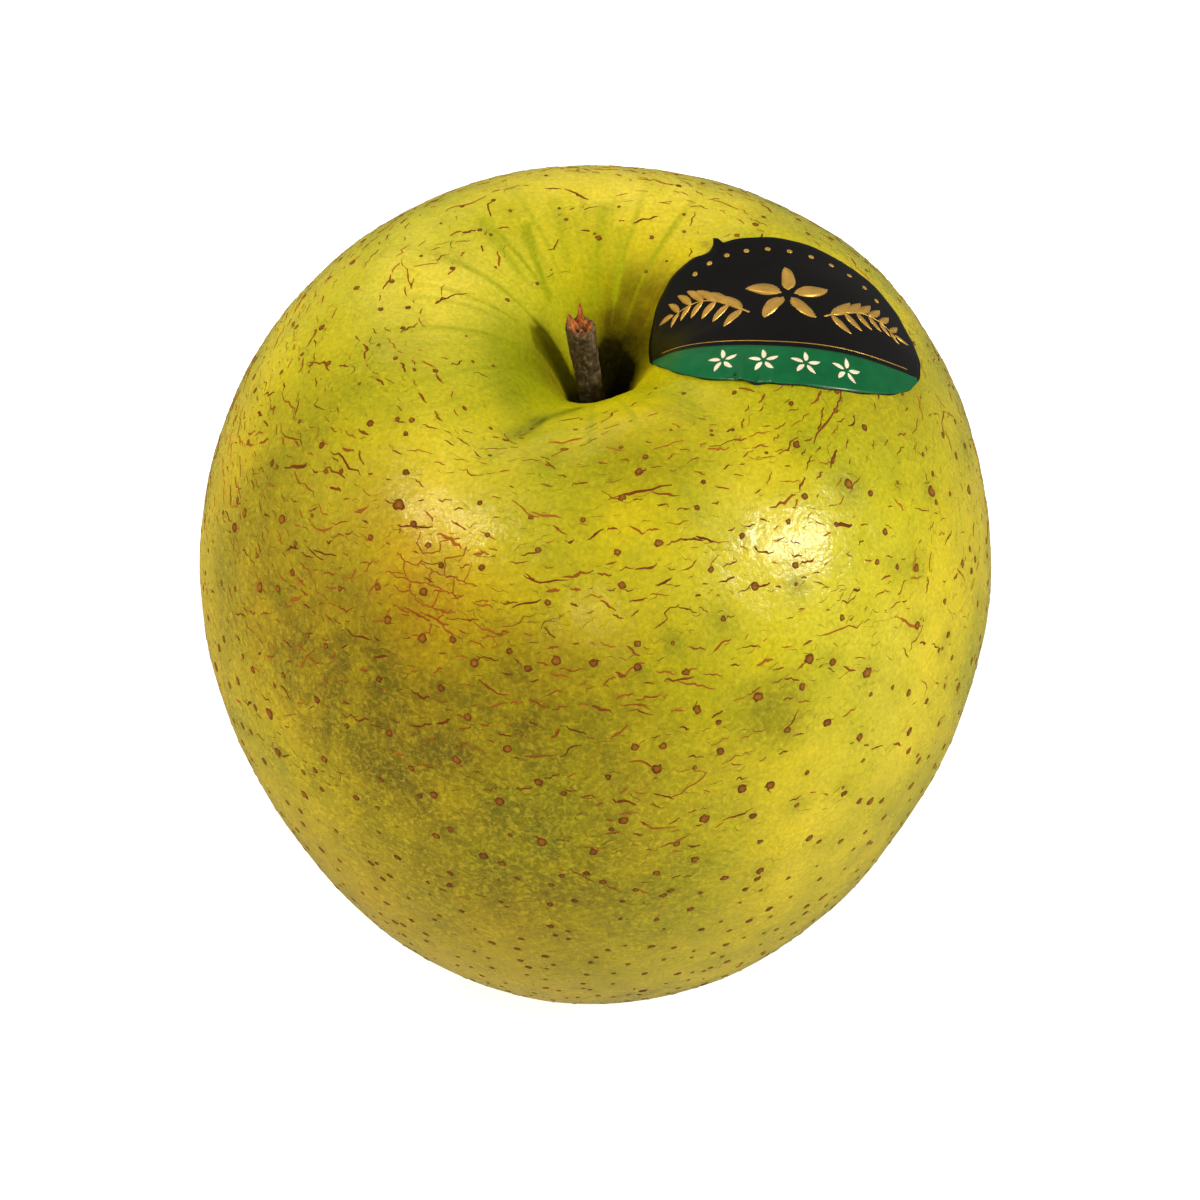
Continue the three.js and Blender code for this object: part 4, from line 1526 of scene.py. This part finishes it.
@dataclass
class Studio:
    """Floor, lights and camera."""

    target: tuple[float, float, float] = (0.0, 0.0, 0.04165)
    elevation: float = 43.0
    distance: float = 0.320
    lens: float = 81.5
    shift: tuple[float, float] = (4 / 1200, 16 / 1200)
    sensor: float = 36.0
    surroundings: float = 0.14
    floor_half: float = 30.0
    floor_glow: float = 0.8

    def build(self) -> None:
        """Sets up the floor, the lights, the white surroundings and the camera."""
        scene = bpy.context.scene
        scene.view_settings.view_transform = "Standard"
        scene.view_settings.look = "None"
        self.floor()
        self.lamp("key", (0.75, -0.34, 0.56), 0.75, 0.09, 3.3, "#fff6e2")
        self.lamp("key_soft", (0.67, -0.5, 0.55), 0.75, 0.2, 1.55, "#fff6e2", glossy=False)
        self.lamp("left_window", (-0.93, -0.05, 0.36), 0.9, 0.5, 6.6, "#ffe9c8", glossy=False)
        self.lamp("left_fill", (-0.53, -0.24, 0.81), 0.8, 0.13, 1.6, "#ffefc4")
        self.lamp("left_soft", (-0.5, -0.4, 0.77), 0.9, 0.4, 0.2, "#fff1dc", glossy=False)
        self.lamp("back_window", (-0.2, 0.88, 0.42), 0.9, 0.5, 4.7, "#fff8ec", glossy=False)
        self.lamp("front_fill", (0.0, -0.82, 0.57), 0.9, 0.07, 0.4, "#fff6ea")
        world = bpy.data.worlds.new("white_studio")
        world.use_nodes = True
        background = world.node_tree.nodes["Background"]
        background.inputs["Color"].default_value = linear("#ffffff")
        background.inputs["Strength"].default_value = self.surroundings
        scene.world = world
        angle = np.radians(self.elevation)
        target = Vector(self.target)
        data = bpy.data.cameras.new("camera")
        data.lens, data.sensor_width = self.lens, self.sensor
        data.shift_x, data.shift_y = self.shift
        data.clip_start = 0.01
        camera = bpy.data.objects.new("camera", data)
        camera.location = target + self.distance * Vector((0.0, -np.cos(angle), np.sin(angle)))
        camera.rotation_euler = (target - camera.location).to_track_quat("-Z", "Y").to_euler()
        scene.collection.objects.link(camera)
        scene.camera = camera

    def floor(self) -> None:
        """Makes the pale floor that the camera sees, and a greyer one under it that lights the apple."""
        seen, seen_shader = self.board("floor", 0.0, "#b9bbc0")
        seen_shader.inputs["Emission Color"].default_value = linear("#fdfdff")
        seen_shader.inputs["Emission Strength"].default_value = self.floor_glow
        seen.visible_diffuse = seen.visible_glossy = seen.visible_transmission = seen.visible_shadow = False
        under, _ = self.board("floor_bounce", -0.1, "#f8f0e0")
        under.visible_camera = under.visible_glossy = False

    def board(self, name: str, z_mm: float, colour: str) -> tuple[Piece, Node]:
        """Lays a wide matt board and returns it with its shader."""
        half = self.floor_half
        corners = [(-half, -half), (half, -half), (half, half), (-half, half)]
        mesh = bpy.data.meshes.new(name)
        mesh.from_pydata([(x, y, z_mm * MM) for x, y in corners], [], [(0, 1, 2, 3)])
        board = bpy.data.objects.new(name, mesh)
        bpy.context.scene.collection.objects.link(board)
        material, tree, shader, _ = new_material("matt_" + name)
        settle(tree, shader, {"Base Color": colour, "Roughness": 0.9})
        mesh.materials.append(material)
        return board, shader

    def lamp(
        self,
        name: str,
        direction: tuple[float, float, float],
        distance: float,
        size: float,
        power: float,
        colour: str,
        glossy: bool = True,
    ) -> None:
        """Hangs a round area light in a direction from the target, facing it.

        Args:
            name: its name.
            direction: from the target towards it.
            distance: to the target, in metres.
            size: its diameter, in metres.
            power: in watts.
            colour: sRGB hex.
            glossy: whether it shows as a highlight.
        """
        data = bpy.data.lights.new(name, "AREA")
        data.shape, data.size = "DISK", size
        data.energy, data.color = power, linear(colour)[:3]
        lamp = bpy.data.objects.new(name, data)
        away = Vector(direction).normalized()
        lamp.location = Vector(self.target) + away * distance
        lamp.rotation_euler = away.to_track_quat("Z", "Y").to_euler()
        lamp.visible_glossy = glossy
        bpy.context.scene.collection.objects.link(lamp)


def shoulder_band(q: Array, azimuth: Array) -> Array:
    """Returns how many russet cracks there are: most in a band on the shoulder, more at the front left."""
    side = 0.56 + 0.44 * np.cos(azimuth - np.radians(238))
    net = 1 - 0.8 * bell(turn_from(azimuth, 243), 11) * bell(q - 19.5, 4.5)
    band = (bell(q - 19, 13) + 0.16 * bell(q - 38, 14)) * side + 0.38 * bell(q - 2, 9)
    return np.clip(band * net, 0.0, 1.0)


def low_left(q: Array, azimuth: Array) -> Array:
    """Returns how many hair cracks there are: most on the left flank, some all round the shoulder."""
    left = bell(turn_from(azimuth, 212), 42)
    return np.clip(0.85 * left * bell(q - 34, 17) + 0.3 * bell(q - 24, 20), 0.0, 1.0)


def along_the_lip(q: Array, azimuth: Array, rng: np.random.Generator) -> Array:
    """Returns headings of cracks, in degrees from the way round the cavity: steeper on the right side."""
    steep = 45 * bell(turn_from(azimuth, 345), 32) + 50 * bell(q + 4, 6)
    level = -14 * bell(turn_from(azimuth, 220), 26) + 8 * bell(turn_from(azimuth, 310), 20)
    wander = rng.normal(0.0, 13.0, q.size)
    side = rng.choice([-1.0, 1.0], q.size) * (rng.random(q.size) < 0.6)
    return level + wander + steep * side


def main() -> None:
    """Builds the apple and its studio."""
    logging.basicConfig(level=logging.INFO, format="%(name)s: %(message)s")
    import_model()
    form = AppleForm()
    Studio().build()
    Fruit(form).build()
    CorkyDots(form).build()
    russet = CrackPlan(
        name="russet_cracks",
        seed=23,
        count=2000,
        sections=7,
        length=1.6,
        length_spread=0.5,
        half_width=0.14,
        swing=24.0,
        rise=0.045,
        chance=shoulder_band,
        finish=Cork("russet_cork", "#642c06", "#a05e1c"),
        string=4,
        gap=1.25,
        net=(19.0, 243.0),
        bold=(
            (6.7, 279, 7.5, 0.24),
            (7.4, 284, 3.0, 0.2),
            (8.3, 326, 6.0, 0.22),
            (29.4, 276, 3.6, 0.14),
            (36.4, 289, 4.0, 0.12),
        ),
    )
    hair = CrackPlan(
        name="hair_cracks",
        seed=31,
        count=3200,
        sections=5,
        length=1.2,
        length_spread=0.4,
        half_width=0.065,
        swing=34.0,
        rise=0.02,
        chance=low_left,
        finish=Cork("hair_crack_cork", "#4a3c0a", "#7d6014"),
        string=3,
        gap=0.8,
    )
    for plan in (russet, hair):
        Cracks(form, plan).build()
    Stem(form).build()
    Calyx(form).build()
    Label(form).build()


if __name__ == "__main__":
    main()
